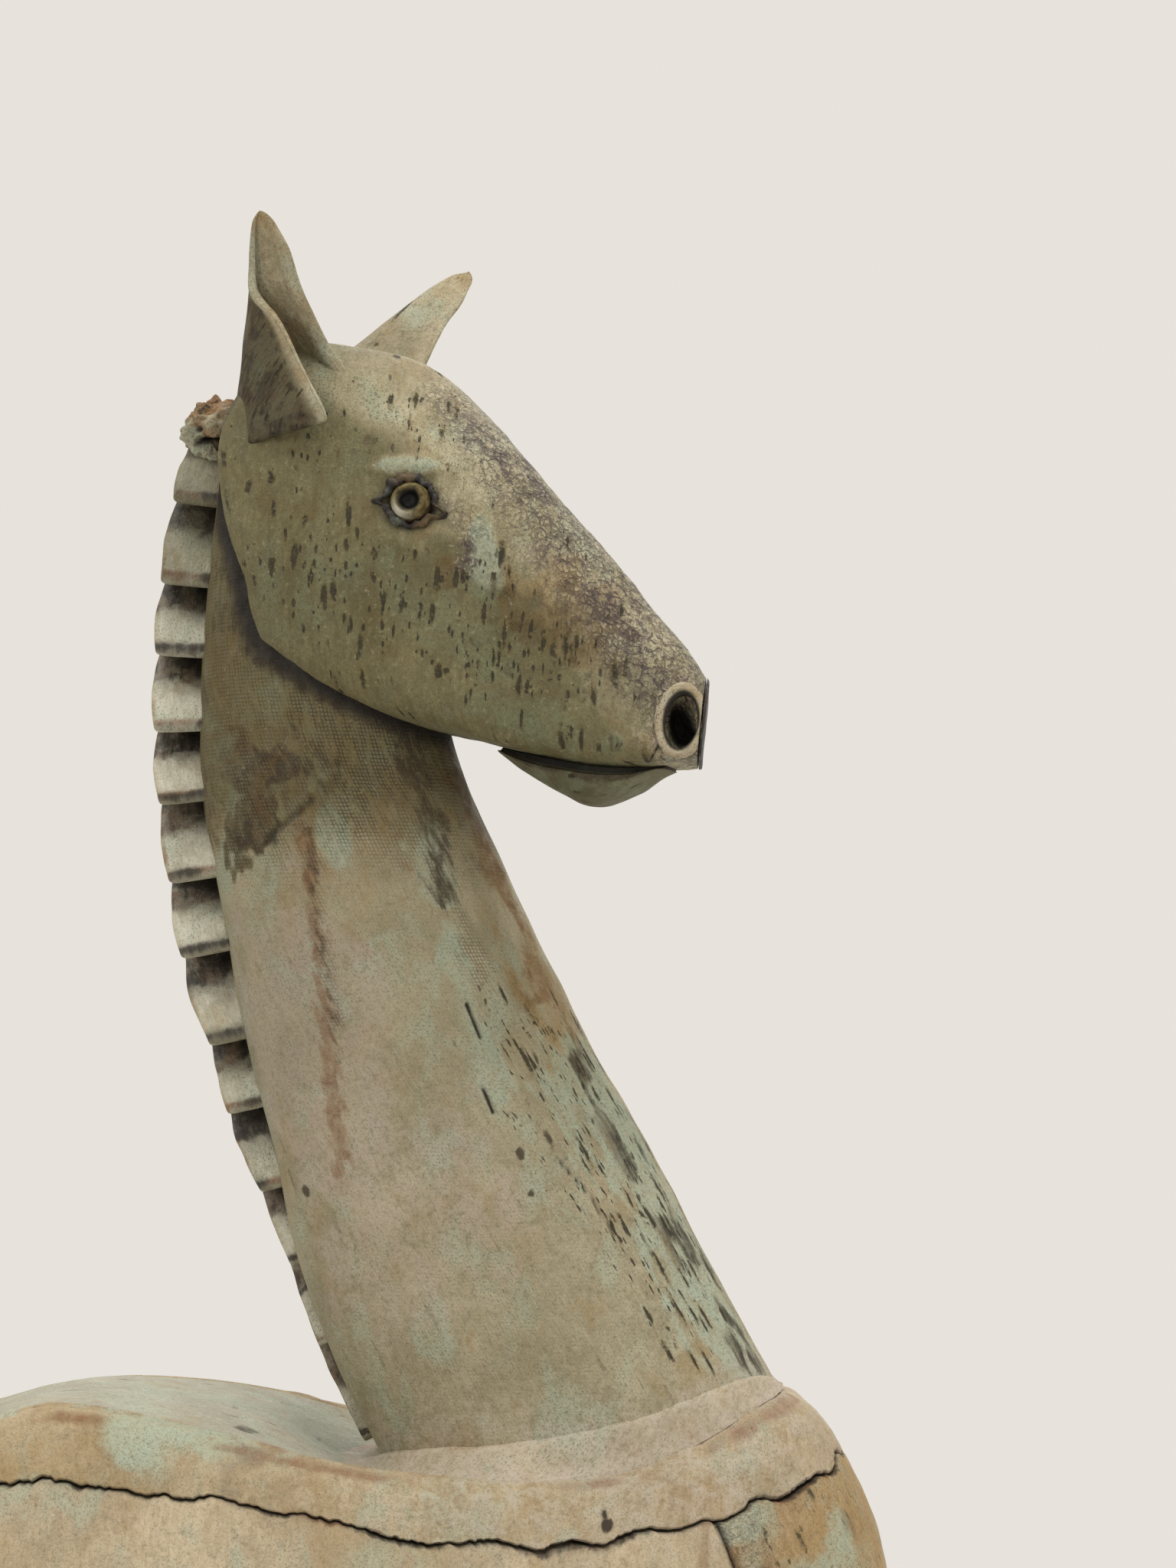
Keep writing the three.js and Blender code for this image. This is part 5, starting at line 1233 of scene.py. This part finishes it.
def nostril_rim(side):
    """Coil of clay round the nostril, fuller at its top and rear."""
    def radius_at(turn):
        return 1.3 * (1 + 0.4 * bump_at(turn, 2.2 * -side, 1.0) + 0.06 * np.sin(5 * turn))

    def masks_at(points):
        oval = np.hypot(points[..., 0] / NOSTRIL_HALF[0], points[..., 1] / NOSTRIL_HALF[1])
        # The rim's inner side, towards the hole, is darkened with painted shade
        inside = 1 - step_up(oval, 0.98, 1.12)
        outside = step_up(oval, 1.3, 1.45)
        return {"ochre": 0.5 + 0.3 * lumps(points, 2.0, 123), "pink": 0.6, "shade": 0.92 * inside,
                "stain_and_shade": most(0.8 * outside * step_up(lumps(points, 1.8, 124), -0.3, 0.5), 0.7 * inside)}

    half = (NOSTRIL_HALF[0] + 0.9, NOSTRIL_HALF[1] + 0.9)
    return ring_piece(f"{name_of(side)}_nostril_clay", half, radius_at, np.zeros_like, 0.012,
                      nostril_frames[side], masks_at, 121)


for side_name, side in SIDES.items():
    stand_in(eyeball(side), f"{side_name}_eyeball", glaze["eye"])
    stand_in(eyelid(side), f"{side_name}_eyelid", glaze["lid"])
    stand_in(nostril_rim(side), f"{side_name}_nostril_rim", glaze["head"])


def lower_jaw():
    """Scoop of clay under the muzzle, with a mouth gap over it, dark with painted shade."""
    depth_at = curve([[0, 0.1], [0.25, 0.42], [0.5, 0.78], [0.68, 1], [0.76, 0.96], [1, 0.14]])
    breadth_at = curve([[0, 0.7], [0.3, 0.95], [0.6, 1], [0.85, 0.86], [1, 0.5]])
    open_at = curve([[0, 0.2], [0.2, 0.8], [0.4, 1], [0.8, 0.9], [1, 0.6]])
    share = np.linspace(0, 1, 130)
    along = 80 + 39 * share
    top = head_under(along) - 0.3
    gap = 2.2 * open_at(share) * (1 - 0.9 * step_up(share, 0.86, 0.98))
    depth = np.maximum(9 * depth_at(share), 0.8)
    half = 12.5 * breadth_at(share)
    # Right half of the section: share of the half width, share of the mouth gap closed, share of the depth
    outline = [(0.0, 1.0, 0.0), (0.4, 1.0, 0.0), (0.7, 1.0, 0.0), (0.74, 0.8, 0.0), (0.76, 0.3, 0.0), (0.8, 0.02, 0.0),
               (0.93, 0.0, 0.0), (0.98, 0.0, 0.03), (1.0, 0.0, 0.09), (0.99, 0.0, 0.25), (0.96, 0.0, 0.42),
               (0.88, 0.0, 0.62), (0.72, 0.0, 0.82), (0.5, 0.0, 0.93), (0.25, 0.0, 0.99)]
    ring = [(-out, closed, deep) for out, closed, deep in outline]
    ring.append((0.0, 0.0, 1.0))
    ring += [(out, closed, deep) for out, closed, deep in reversed(outline)]
    whole = np.array(ring)
    fine = np.linspace(0, len(whole) - 1, 120)
    out, closed, deep = (np.interp(fine, np.arange(len(whole)), column) for column in whole.T)
    points = np.stack([
        np.repeat(along[:, None], len(fine), axis=1),
        half[:, None] * out[None, :],
        (top - gap)[:, None] + (gap + 0.6)[:, None] * closed[None, :] - depth[:, None] * deep[None, :],
    ], axis=-1)
    inner = grid_normals(points, True)
    solid = step_up(deep, 0.0, 0.1)[None, :, None]
    points = points + inner * (0.25 * lumps(points, 5.0, 131) - 0.2)[..., None] * solid
    rough = lumps(points, 4.0, 132)
    # Dark lip along the mouth gap: partly a stain and partly painted shade of the gap
    lip = (1 - step_up(deep, 0.15, 0.5)) * (1 - step_up(closed, 0.0, 0.2))
    masks = {
        "stain_and_shade": most(0.95 * lip[None, :] * step_up(rough, -1.2, -0.2), 0.35 * step_up(rough, 0.4, 0.9)),
        # Painted shade in the mouth gap and on the jaw's top under the muzzle
        "shade": most(0.9 * step_up(closed, 0.02, 0.3)[None, :] + 0 * rough, 0.5 * (1 - step_up(deep, 0.0, 0.05))[None, :]),
        "mint_and_highlight": 0.4, "marks": 0.25, "ochre": 0.3 * step_up(rough, 0, 0.6), "deep": 0.75,
    }
    return grid_piece("jaw_clay", points, wrap=True, place=head_place, masks=masks, closed=True)


stand_in(lower_jaw(), "lower_jaw", glaze["jaw"])

# Ears: a leaf of clay rolled round its axis, open to the front, with its outer lobe cut short

ear_rear = curve([[0, 1.15], [0.25, 1.08], [0.42, 0.88], [0.58, 0.66], [0.72, 0.5], [0.86, 0.36], [0.96, 0.22], [1, 0.1]])
ear_front = curve([[0, 1.75], [0.14, 1.7], [0.3, 1.2], [0.42, 0.88], [0.58, 0.66], [0.72, 0.5], [0.86, 0.36], [1, 0.1]])
ear_narrowing = curve([[0, 1.1], [0.25, 1], [0.42, 0.76], [0.58, 0.5], [0.72, 0.36], [0.86, 0.28], [1, 0.12]])
ear_curl = curve([[0, 2.6], [0.15, 2.4], [0.3, 2], [0.5, 1.8], [0.7, 1.7], [1, 1.3]])
outer_lobe = curve([
    [0, 1], [0.2, 1.03], [0.3, 1.05], [0.43, 1.02], [0.52, 0.93], [0.58, 0.8], [0.63, 0.58], [0.68, 0.34],
    [0.76, 0.15], [1, 0.08],
])
# Where the leaf's foot starts up the axis, from the outer lobe's edge round to the inner edge
ear_foot = curve([[0, 0.113], [0.25, 0.035], [0.5, -0.09], [0.75, -0.05], [1, 0]])


def ear(side, tip, bend):
    base = np.array([-11.0, side * 16.0, 10.0])
    axis = np.array(tip) - base
    length = np.linalg.norm(axis)
    axis = axis / length
    ahead = np.array([math.cos(math.radians(10)), side * math.sin(math.radians(10)), 0])
    ahead = ahead - axis * (ahead @ axis)
    ahead /= np.linalg.norm(ahead)
    inwards = -side * np.cross(axis, ahead)
    row = np.concatenate([np.linspace(0, 0.03, 9)[:-1], np.linspace(0.03, 0.9, 116)[:-1], np.linspace(0.9, 1, 36)])[:, None]

    # Across the leaf: over the outside, round one rim, back along the inside, round the other rim
    leaf = np.linspace(0, 1, 56)
    rim = np.linspace(0, math.pi, 13)[1:-1]
    column = np.concatenate([leaf, np.ones(11), leaf[::-1], np.zeros(11)])[None, :]
    depth = np.concatenate([np.zeros(56), (1 - np.cos(rim)) / 2, np.ones(56), (1 + np.cos(rim)) / 2])[None, :]
    past = np.concatenate([np.zeros(56), np.sin(rim), np.zeros(56), -np.sin(rim)])[None, :]
    share = blend(ear_foot(column), 1.0, row)
    curl = ear_curl(share)
    turn = curl * blend(-outer_lobe(share), 1.0, column)
    thick = 2.6 * (1 - 0.6 * row)
    foot_round = np.sqrt(np.clip(1 - (1 - row / 0.03) ** 2, 0.0025, 1))
    foot_round = np.where(row < 0.03, foot_round, 1)
    solid = 0.5 + (depth - 0.5) * foot_round
    bead = np.exp(-((np.minimum(column, 1 - column) * 2 * curl * 9) / 1.6) ** 2) * (1 - step_up(row, 0.8, 1.0))
    inset = thick * solid + bead * 0.5 * (2 * solid - 1)
    rear = np.maximum(12.6 * ear_rear(share) - inset, 0.2)
    front = np.maximum(12.6 * ear_front(share) - inset, 0.2)
    width = np.maximum(9.5 * ear_narrowing(share) - inset, 0.2)
    turn = turn + 0.6 * thick * past * foot_round / np.maximum((rear + front) / 2, 1.5)
    reach = (1 - np.cos(turn)) / (1 - np.cos(curl))
    flare = 4.0 * (1 - step_up(share, -0.09, 0.34)) * (1 - step_up(column, 0.45, 0.8))
    points = (base + (share * length)[..., None] * axis
              + ((rear + front) * reach - rear - 4 * bend * share * (1 - share))[..., None] * ahead
              + (width * np.sin(turn) - flare)[..., None] * inwards)
    tip_round = np.sqrt(1 - (1 - np.clip((1 - row) / 0.055, 0, 1)) ** 2)
    middle = points.mean(axis=1, keepdims=True)
    points = middle + (points - middle) * np.maximum(tip_round, 0.02)[..., None]
    rough = lumps(points, 5.0, 141)
    out = grid_normals(points, True)
    points = points + out * (0.3 * lumps(points, 9.0, 142) - 0.15)[..., None]
    rims = most(bead * (1 - 0.3 * depth), np.abs(past) + 0 * share)
    inside = depth + 0 * share
    outer = (1 - inside) * (1 - rims)
    high = share + 0 * depth
    low_edge = outer * (1 - step_up(row, 0.05, 0.2))
    strength = 1.0 if side == RIGHT else 0.35
    masks = {
        "mint_and_highlight": most(0.35 * rims, 0.3 * step_up(lumps(points, 14.0, 143), 0.1, 0.6)),
        "ochre": most(0.7 * step_up(high, 0.82, 0.98), 0.1 * inside, 0.5 * outer * step_up(rough, -0.3, 0.5)),
        "rust": strength * most(0.8 * step_up(lumps(points, 5.0, 144), 0.0, 0.4) * outer, 0.5 * step_up(high, 0.88, 1.0)),
        "stain_and_shade": strength * most(0.95 * step_up(lumps(points, 4.5, 145), 0.0, 0.45) * outer,
                                 0.95 * step_up(lumps(points, 2.2, 146), 0.2, 0.5) * outer, 0.5 * outer,
                                 0.9 * low_edge * step_up(lumps(points, 2.6, 147), 0.0, 0.5)),
        "deep": strength * outer * (1 - step_up(high, 0.6, 0.85)),
        "shade": strength * most(0.04 * inside * (1 - step_up(high, 0.2, 0.4)) * (1 - rims),
                                 0.34 * outer * (1 - step_up(high, 0.5, 0.7))),
        "marks": 0.5 * strength * outer,
    }
    return grid_piece(f"{name_of(side)}_ear_clay", points, wrap=True, place=head_place, masks=masks)


stand_in(ear(RIGHT, (-43.5, -35, 57.5), 0.0), "right_ear", glaze["ear"])
stand_in(ear(LEFT, (-23, 52, 73), 4.5), "left_ear", glaze["ear"])

# Mane and tail: pleated strips

MANE_SINK = 1.5


def mane_root(height, y):
    """Places and outward directions down the back of the neck, by height."""
    def back_at(z):
        share = np.clip((z - NECK_FOOT_Z) / NECK_RISE, 0, 1)
        x, half_length, half_width, _ = neck_section(share)
        across = np.minimum(np.abs(y) / half_width, 1)
        round_share = (1 - across ** NECK_SHARPNESS) ** (1 / NECK_SHARPNESS)
        return np.stack(np.broadcast_arrays(x - half_length * round_share + MANE_SINK, 0 * z, z), axis=-1)
    place = back_at(height)
    along = back_at(height + 2.6) - back_at(height - 2.6)
    along /= np.linalg.norm(along, axis=-1, keepdims=True)
    out = np.stack([-along[..., 2], np.zeros_like(height), along[..., 0]], axis=-1)
    return place, out


def pleated(name, edges, root_at, width_at, fold_at, thickness_at):
    """Ribbon in knife pleats: each pleat comes forward slowly, then folds back under its own edge."""
    per_pleat = 44
    count = (len(edges) - 1) * per_pleat
    phase = np.arange(count + 1) / per_pleat
    pleat = np.minimum(phase.astype(int), len(edges) - 2)
    part = phase - pleat
    edges = np.array(edges, float)
    pitch = edges[pleat + 1] - edges[pleat]
    slow = 0.76
    going = part < slow
    swing = np.where(going, np.cos(math.pi * part / slow), -np.cos(math.pi * (part - slow) / (1 - slow)))
    place = edges[pleat] + pitch * part - 0.17 * pitch * swing
    overall = np.clip((place - edges[0]) / (edges[-1] - edges[0]), 0, 1)
    y = fold_at(overall) * swing
    root, out = root_at(place, y)
    centre = root + np.stack([0 * y, y, 0 * y], axis=-1)
    run = np.gradient(centre, axis=0)
    run /= np.linalg.norm(run, axis=-1, keepdims=True)
    side = np.cross(out, run)
    side /= np.linalg.norm(side, axis=-1, keepdims=True)
    half = 0.5 * thickness_at(overall)
    width = width_at(overall, part)
    section = [(1.0, 0.0), (1.0, 0.25), (1.0, 0.5), (1.0, 0.72), (0.97, 0.84), (0.85, 0.92), (0.6, 0.975), (0.25, 1.0)]
    section = section + [(-a, b) for a, b in reversed(section)]
    rings = []
    for way, reach in section:
        rings.append(centre + out * (reach * width)[:, None] + side * (way * half)[:, None])
    rows = np.stack(rings, axis=1)
    steps = np.linspace(0, len(section) - 1, 57)
    low = np.minimum(steps.astype(int), len(section) - 2)
    share = (steps - low)[None, :, None]
    points = rows[:, low] * (1 - share) + rows[:, low + 1] * share
    reach = np.interp(steps, np.arange(len(section)), [b for _, b in section])
    points[..., 1] += 0.35 * lumps(points, 6.0, 151) * reach[None, :]
    points[..., 0] += 0.3 * lumps(points, 5.0, 152) * reach[None, :]
    masks = pleat_masks(points, part[:, None], reach[None, :])
    return grid_piece(name, points, wrap=True, masks=masks)


def pleat_masks(points, part, reach):
    """Rust and black along each fold's edge, the black partly painted shade; painted shade in the grey pocket under it
    and on the part tucked under; and a painted shadow in the corner beside the neck.
    """
    rough = lumps(points, 3.0, 161)
    broad = lumps(points, 9.0, 162)
    fine = lumps(points * np.array([0.5, 0.5, 3.0]), 1.2, 164)
    edge = np.exp(-((part - 0.735) / 0.045) ** 2)
    # Painted shade on the part tucked under each fold's edge
    tucked = step_up(part, 0.78, 0.84)
    # Pocket under each fold: grey stain with painted shade
    lens = 1 - step_up(part + 0.06 * rough + 0.03 * fine, 0.33, 0.44)
    root = 1 - step_up(reach, 0.15, 0.75)
    # Painted shadow in the corner beside the neck
    corner_shadow = root * (1 - step_up(part + 0.05 * rough, 0.2, 0.62))
    outer = step_up(reach, 0.8, 0.96)
    return {
        "rust": most(0.95 * edge * step_up(broad, -0.6, 0.0), 0.7 * corner_shadow * step_up(broad, -0.4, 0.4),
                     0.8 * outer * step_up(broad + 0.4 * rough, -0.4, 0.4), 0.8 * lens * step_up(-broad - rough, -0.5, 0.3)),
        "stain_and_shade": most(0.9 * edge * step_up(-broad, -0.3, 0.2), lens * (0.5 + 0.4 * step_up(broad + rough, -0.5, 0.4)),
                      0.75 * corner_shadow, 0.3 * step_up(rough, 0.6, 0.9)),
        "shade": most(0.8 * tucked + 0 * reach, lens * (0.4 + 0.25 * root + 0.3 * step_up(broad + rough, -0.3, 0.6)) * (0.85 + 0.3 * fine),
                      0.85 * corner_shadow ** 1.2, 0.6 * edge * step_up(-broad, -0.1, 0.3)),
        "mint_and_highlight": 0.3 * step_up(broad, -0.2, 0.5) * (1 - edge),
        "ochre": most(0.6 * outer + 0 * part, 0.2 * step_up(lumps(points, 20.0, 163), 0.0, 0.6)),
        "deep": 0.75 * step_up(points[..., 2], 440, 488) + 0 * part,
        "marks": 0.0,
    }


# Heights where the pleats fold under, from the neck's top to its foot
mane_edges = [514.5, 495.0, 473.6, 455.3, 436.1, 418.0, 397.9, 378.9, 355.9, 338.5, 317.7, 298.0, 277.0, 253.0]
mane_breadth = curve([
    [0, 0.72], [0.05, 0.94], [0.13, 1.02], [0.3, 1.02], [0.54, 1], [0.61, 0.78], [0.69, 0.68], [0.76, 0.4],
    [0.84, 0.2], [1, 0.1],
])
mane_fullness = curve([[0, 0.6], [0.1, 1], [0.6, 1], [0.74, 0.7], [0.82, 0.15], [1, 0.05]])


def mane():
    def width_at(overall, part):
        return MANE_SINK + 12.2 * mane_breadth(overall) * (0.93 + 0.07 * np.sin(math.pi * np.clip(part / 0.85, 0, 1)))

    edges = [-height for height in mane_edges]
    return pleated(
        "mane_clay", edges, lambda place, y: mane_root(-place, y), width_at,
        lambda overall: 5.2 * mane_fullness(overall), lambda overall: 3.2 - 0.6 * overall)


stand_in(mane(), "mane_strip", glaze["mane"])


def tail():
    """The same strip, hung from the top of the rump."""
    top_z = body_point(math.pi, BAND_DEPTH / BODY_DEPTH, 0.0)[2]

    def root_at(drop, y):
        level = np.minimum((BAND_DEPTH + drop) / BODY_DEPTH, 0.5)
        x, _ = body_plan(np.full_like(drop, math.pi), level, 0.0)
        hang = 14 * (drop / 150) ** 2
        place = np.stack([x - 0.6 - hang, 0 * drop, top_z - drop], axis=-1)
        out = np.broadcast_to(np.array([-0.97, 0, 0.2425]), place.shape)
        return place, out

    breadth = curve([[0, 0.5], [0.12, 0.85], [0.4, 1], [0.75, 0.75], [1, 0.25]])
    return pleated(
        "tail_clay", np.linspace(0, 150, 8), root_at,
        lambda overall, part: 20 * breadth(overall) * (0.95 + 0.05 * np.sin(math.pi * part)),
        lambda overall: 4.4 * (1 - 0.5 * overall), lambda overall: 4.2 + 0 * overall)


stand_in(tail(), "tail_strip", glaze["mane"])


def knot():
    """Torn lump that ends the mane behind the ears."""
    place, _ = mane_root(np.array(507.0), np.array(0.0))
    turn = np.linspace(0, TURN, 141)[:-1]
    climb = np.linspace(0.01, math.pi - 0.01, 90)
    shape = np.stack([
        np.sin(climb)[:, None] * np.cos(turn)[None, :],
        np.sin(climb)[:, None] * np.sin(turn)[None, :],
        np.repeat(np.cos(climb)[:, None], len(turn), axis=1),
    ], axis=-1)
    torn = 0.2 * lumps(shape * 7, 4.0, 171) + 0.15 * lumps(shape * 7, 1.8, 172) + 0.07 * lumps(shape * 7, 0.8, 173)
    slot = np.exp(-((shape[..., 2] + 0.58) / 0.16) ** 2) * step_up(-shape[..., 1] + 0.3 * shape[..., 0], 0.1, 0.5)
    hole = np.exp(-(((shape[..., 0] + 0.5) / 0.16) ** 2 + ((shape[..., 2] + 0.1) / 0.14) ** 2)) * (shape[..., 1] < 0)
    reach = 1 + torn - 0.42 * slot - 0.25 * hole
    points = shape * reach[..., None] * np.array([7.6, 6.8, 7.8]) + np.array([place[0] - 3.4, 0, place[2] + 9.0])
    rough = lumps(points, 3.0, 174)
    masks = {
        "rust": most(0.75 * step_up(shape[..., 2] - 0.3 * shape[..., 0], 0.2, 0.8), 0.5 * step_up(rough, 0.1, 0.6)),
        "ochre": 0.55 + 0 * rough,
        "mint_and_highlight": 0.8 * step_up(-shape[..., 0] - shape[..., 2], 0.3, 0.8),
        # The slot and the hole are darkened with painted shade
        "stain_and_shade": most(0.95 * slot, 0.95 * hole, 0.6 * step_up(-torn, 0.12, 0.25)),
        "shade": most(0.95 * slot, 0.8 * hole, 0.5 * step_up(-torn, 0.15, 0.3)),
        "marks": 0.2,
    }
    return grid_piece("knot_clay", points, wrap=True, masks=masks)


stand_in(knot(), "mane_top_knot", glaze["knot"])

# Legs and hooves

LEG_SPREAD = 34.0
LEG_SHARPNESS = 2.3
leg_fullness = curve([[0, 0.15], [0.1, 0], [0.3, 0], [0.46, 0.2], [0.56, 0.16], [0.8, 0.72], [1, 1]])
rear_bend = curve([[0, 0], [0.3, -1], [0.5, -5], [0.75, 2], [1, 6]])
front_bend = curve([[0, 0], [0.5, 1], [1, 0]])


def leg(side, front):
    share = np.linspace(0, 1, 150)
    full = leg_fullness(share)
    knee = np.exp(-((share - 0.47) / 0.07) ** 2)
    fetlock = np.exp(-((share - 0.06) / 0.05) ** 2)
    half_length = blend(12, 25, full) - 0.6
    half_width = blend(11, 19, full) - 0.6
    angles = np.linspace(0, TURN, 97)[:-1]
    bend = front_bend(share) if front else rear_bend(share)
    x = (76 if front else -160) + bend
    height = blend(22.3, LEG_HEIGHT + 36, share)
    ahead = power(np.cos(angles), LEG_SHARPNESS)
    across = power(np.sin(angles), LEG_SHARPNESS)
    points = np.stack([
        x[:, None] + half_length[:, None] * ahead[None, :],
        side * LEG_SPREAD + half_width[:, None] * across[None, :],
        np.repeat(height[:, None], len(angles), axis=1),
    ], axis=-1)
    out = grid_normals(points, True)
    facing = np.maximum(ahead, 0)[None, :] if front else np.maximum(-ahead, 0)[None, :]
    groove = np.exp(-((np.abs(np.cos(angles)) - 0.25) / 0.2) ** 2)[None, :] * step_up(share, 0.1, 0.2)[:, None]
    shape = 0.9 * knee[:, None] * facing + 0.5 * fetlock[:, None] - 0.9 * groove * (1 - step_up(share, 0.42, 0.5))[:, None]
    points = points + out * (shape + 0.5 * lumps(points, 14.0, 181) + 0.25 * lumps(points, 5.0, 182) - 0.5)[..., None]
    rough = lumps(points, 8.0, 183)
    masks = {
        "ochre": 0.25 + 0.4 * step_up(lumps(points, 26.0, 184), -0.1, 0.5),
        "mint_and_highlight": 0.15 + 0.5 * step_up(lumps(points, 22.0, 185), 0.0, 0.5),
        "rust": most(0.6 * step_up(rough, 0.4, 0.8), 0.6 * (1 - step_up(share, 0.0, 0.06))[:, None] + 0 * rough),
        "stain_and_shade": most(0.6 * (1 - step_up(share, 0.0, 0.03))[:, None] + 0 * rough, 0.5 * step_up(rough, 0.6, 0.9)),
        "marks": 0.55,
        "weave": 0.2,
    }
    return grid_piece(f"{name_of(side)}_{'front' if front else 'rear'}_leg_clay", points, wrap=True, masks=masks)


def hoof(side, front):
    levels = [(0.0, 0.02), (0.0, 0.6), (0.0, 0.93), (0.01, 0.965), (0.04, 0.99), (0.08, 1.0), (0.3, 0.955), (0.55, 0.9), (0.75, 0.85),
              (0.88, 0.81), (0.92, 0.8), (0.96, 0.79), (0.985, 0.76), (1.0, 0.7), (1.0, 0.3), (1.0, 0.02)]
    fine = np.linspace(0, len(levels) - 1, 80)
    rise = np.interp(fine, np.arange(len(levels)), [a for a, _ in levels])
    share = np.interp(fine, np.arange(len(levels)), [b for _, b in levels])
    angles = np.linspace(0, TURN, 97)[:-1]
    ahead = power(np.cos(angles), LEG_SHARPNESS)
    heel = blend(0.9, 1.0, step_up(np.cos(angles), -0.4, 0.4))
    x = 76 if front else -160
    points = np.stack([
        x + 2 * (1 - rise)[:, None] + 20 * share[:, None] * (heel * ahead)[None, :],
        side * LEG_SPREAD + 16.5 * share[:, None] * power(np.sin(angles), LEG_SHARPNESS)[None, :],
        np.repeat(22 * rise[:, None], len(angles), axis=1),
    ], axis=-1)
    rings = 0.25 * np.sin(rise * 26)[:, None] * step_up(rise, 0.06, 0.2)[:, None] * step_up(1 - rise, 0.05, 0.2)[:, None]
    out = grid_normals(points, True)
    stay = (rise > 0.02)[:, None]
    points = points + out * np.where(stay, rings + 0.2 * lumps(points, 5.0, 191) - 0.3, 0)[..., None]
    masks = {"rust": 0.4 * step_up(lumps(points, 8.0, 192), 0.1, 0.6), "marks": 0.5,
             "ochre": 0.3 * step_up(rise, 0.8, 1.0)[:, None] + 0 * points[..., 0]}
    return grid_piece(f"{name_of(side)}_{'front' if front else 'rear'}_hoof_clay", points, wrap=True, masks=masks)


for side_name, side in SIDES.items():
    for end_name, front in (("front", True), ("rear", False)):
        stand_in(leg(side, front), f"{side_name}_{end_name}_leg", glaze["leg"])
        stand_in(hoof(side, front), f"{side_name}_{end_name}_hoof", glaze["hoof"])

# Floor, light and camera

def floor_disc():
    turn = np.linspace(0, TURN, 97)[:-1]
    radius = np.linspace(0.5, 1400, 40)
    points = np.stack([
        radius[:, None] * np.cos(turn)[None, :] - SHIFT[0],
        radius[:, None] * np.sin(turn)[None, :],
        np.full((40, 96), -0.4),
    ], axis=-1)
    disc = grid_piece("studio_floor", points, wrap=True, facing=(0, 0, 1))
    paint = Paint("floor_paper")
    tooth = paint.noise(3.0, 3.0)
    color = paint.mix(paint.smooth(tooth, 0.3, 0.7), tone(222, 219, 214), tone(228, 225, 221))
    paint.join(color, paint.shader.inputs["Base Color"])
    paint.shader.inputs["Roughness"].default_value = 0.9
    disc.data.materials.append(paint.material)


floor_disc()


def area_light(name, place, target, size, watts, color):
    light = bpy.data.lights.new(name, "AREA")
    light.shape = "RECTANGLE"
    light.size = size[0]
    light.size_y = size[1]
    light.energy = watts
    light.color = color
    holder = bpy.data.objects.new(name, light)
    bpy.context.scene.collection.objects.link(holder)
    holder.location = place
    aim = Vector(target) - Vector(place)
    holder.rotation_euler = aim.to_track_quat("-Z", "Y").to_euler()


area_light("ceiling_panel", (0.0, -0.15, 1.9), (0.05, 0, 0.3), (1.8, 1.8), 28, (1.0, 0.985, 0.96))
area_light("left_window", (-1.5, -1.3, 1.1), (0.0, 0, 0.35), (1.2, 1.2), 11, (1.0, 0.99, 0.97))
area_light("right_panel", (1.7, -0.9, 0.8), (0.05, 0, 0.35), (1.0, 1.2), 10, (1.0, 0.98, 0.95))
area_light("rear_panel", (0.2, 1.8, 1.2), (0.0, 0, 0.3), (1.6, 1.2), 12, (1.0, 0.99, 0.98))

world = bpy.data.worlds.new("studio")
bpy.context.scene.world = world
world.use_nodes = True
tree = world.node_tree
backdrop = tree.nodes["Background"]
backdrop.inputs["Color"].default_value = tone(231, 227, 220)
backdrop.inputs["Strength"].default_value = 1.0
fill = tree.nodes.new("ShaderNodeBackground")
fill.inputs["Color"].default_value = (1.0, 0.99, 0.97, 1.0)
fill.inputs["Strength"].default_value = 0.42
seen = tree.nodes.new("ShaderNodeLightPath")
either = tree.nodes.new("ShaderNodeMixShader")
shown = seen.outputs["Is Camera Ray"]
for ray in ("Is Glossy Ray", "Is Transmission Ray"):
    larger = tree.nodes.new("ShaderNodeMath")
    larger.operation = "MAXIMUM"
    tree.links.new(shown, larger.inputs[0])
    tree.links.new(seen.outputs[ray], larger.inputs[1])
    shown = larger.outputs[0]
tree.links.new(shown, either.inputs[0])
tree.links.new(fill.outputs[0], either.inputs[1])
tree.links.new(backdrop.outputs[0], either.inputs[2])
tree.links.new(either.outputs[0], tree.nodes["World Output"].inputs["Surface"])

# The photograph's frame is 1536 by 2048, its horizon lies at row 1400 and its focal length is 4500 of its pixels
FRAME_HEIGHT = 2048
FOCAL_PIXELS = 4500
HORIZON_ROW = 1400
camera_data = bpy.data.cameras.new("camera")
camera_data.sensor_fit = "VERTICAL"
camera_data.sensor_height = 24.0
camera_data.lens = FOCAL_PIXELS / FRAME_HEIGHT * camera_data.sensor_height
camera_data.clip_start = 0.05
camera_data.clip_end = 50.0
camera = bpy.data.objects.new("camera", camera_data)
bpy.context.scene.collection.objects.link(camera)
camera.location = Vector((51.2 + SHIFT[0], -900, 347)) * MM
pitch = math.atan((HORIZON_ROW - FRAME_HEIGHT / 2) / FOCAL_PIXELS)
camera.rotation_euler = Euler((math.pi / 2 + pitch, 0, 0))
bpy.context.scene.camera = camera
bpy.context.scene.view_settings.view_transform = "Standard"
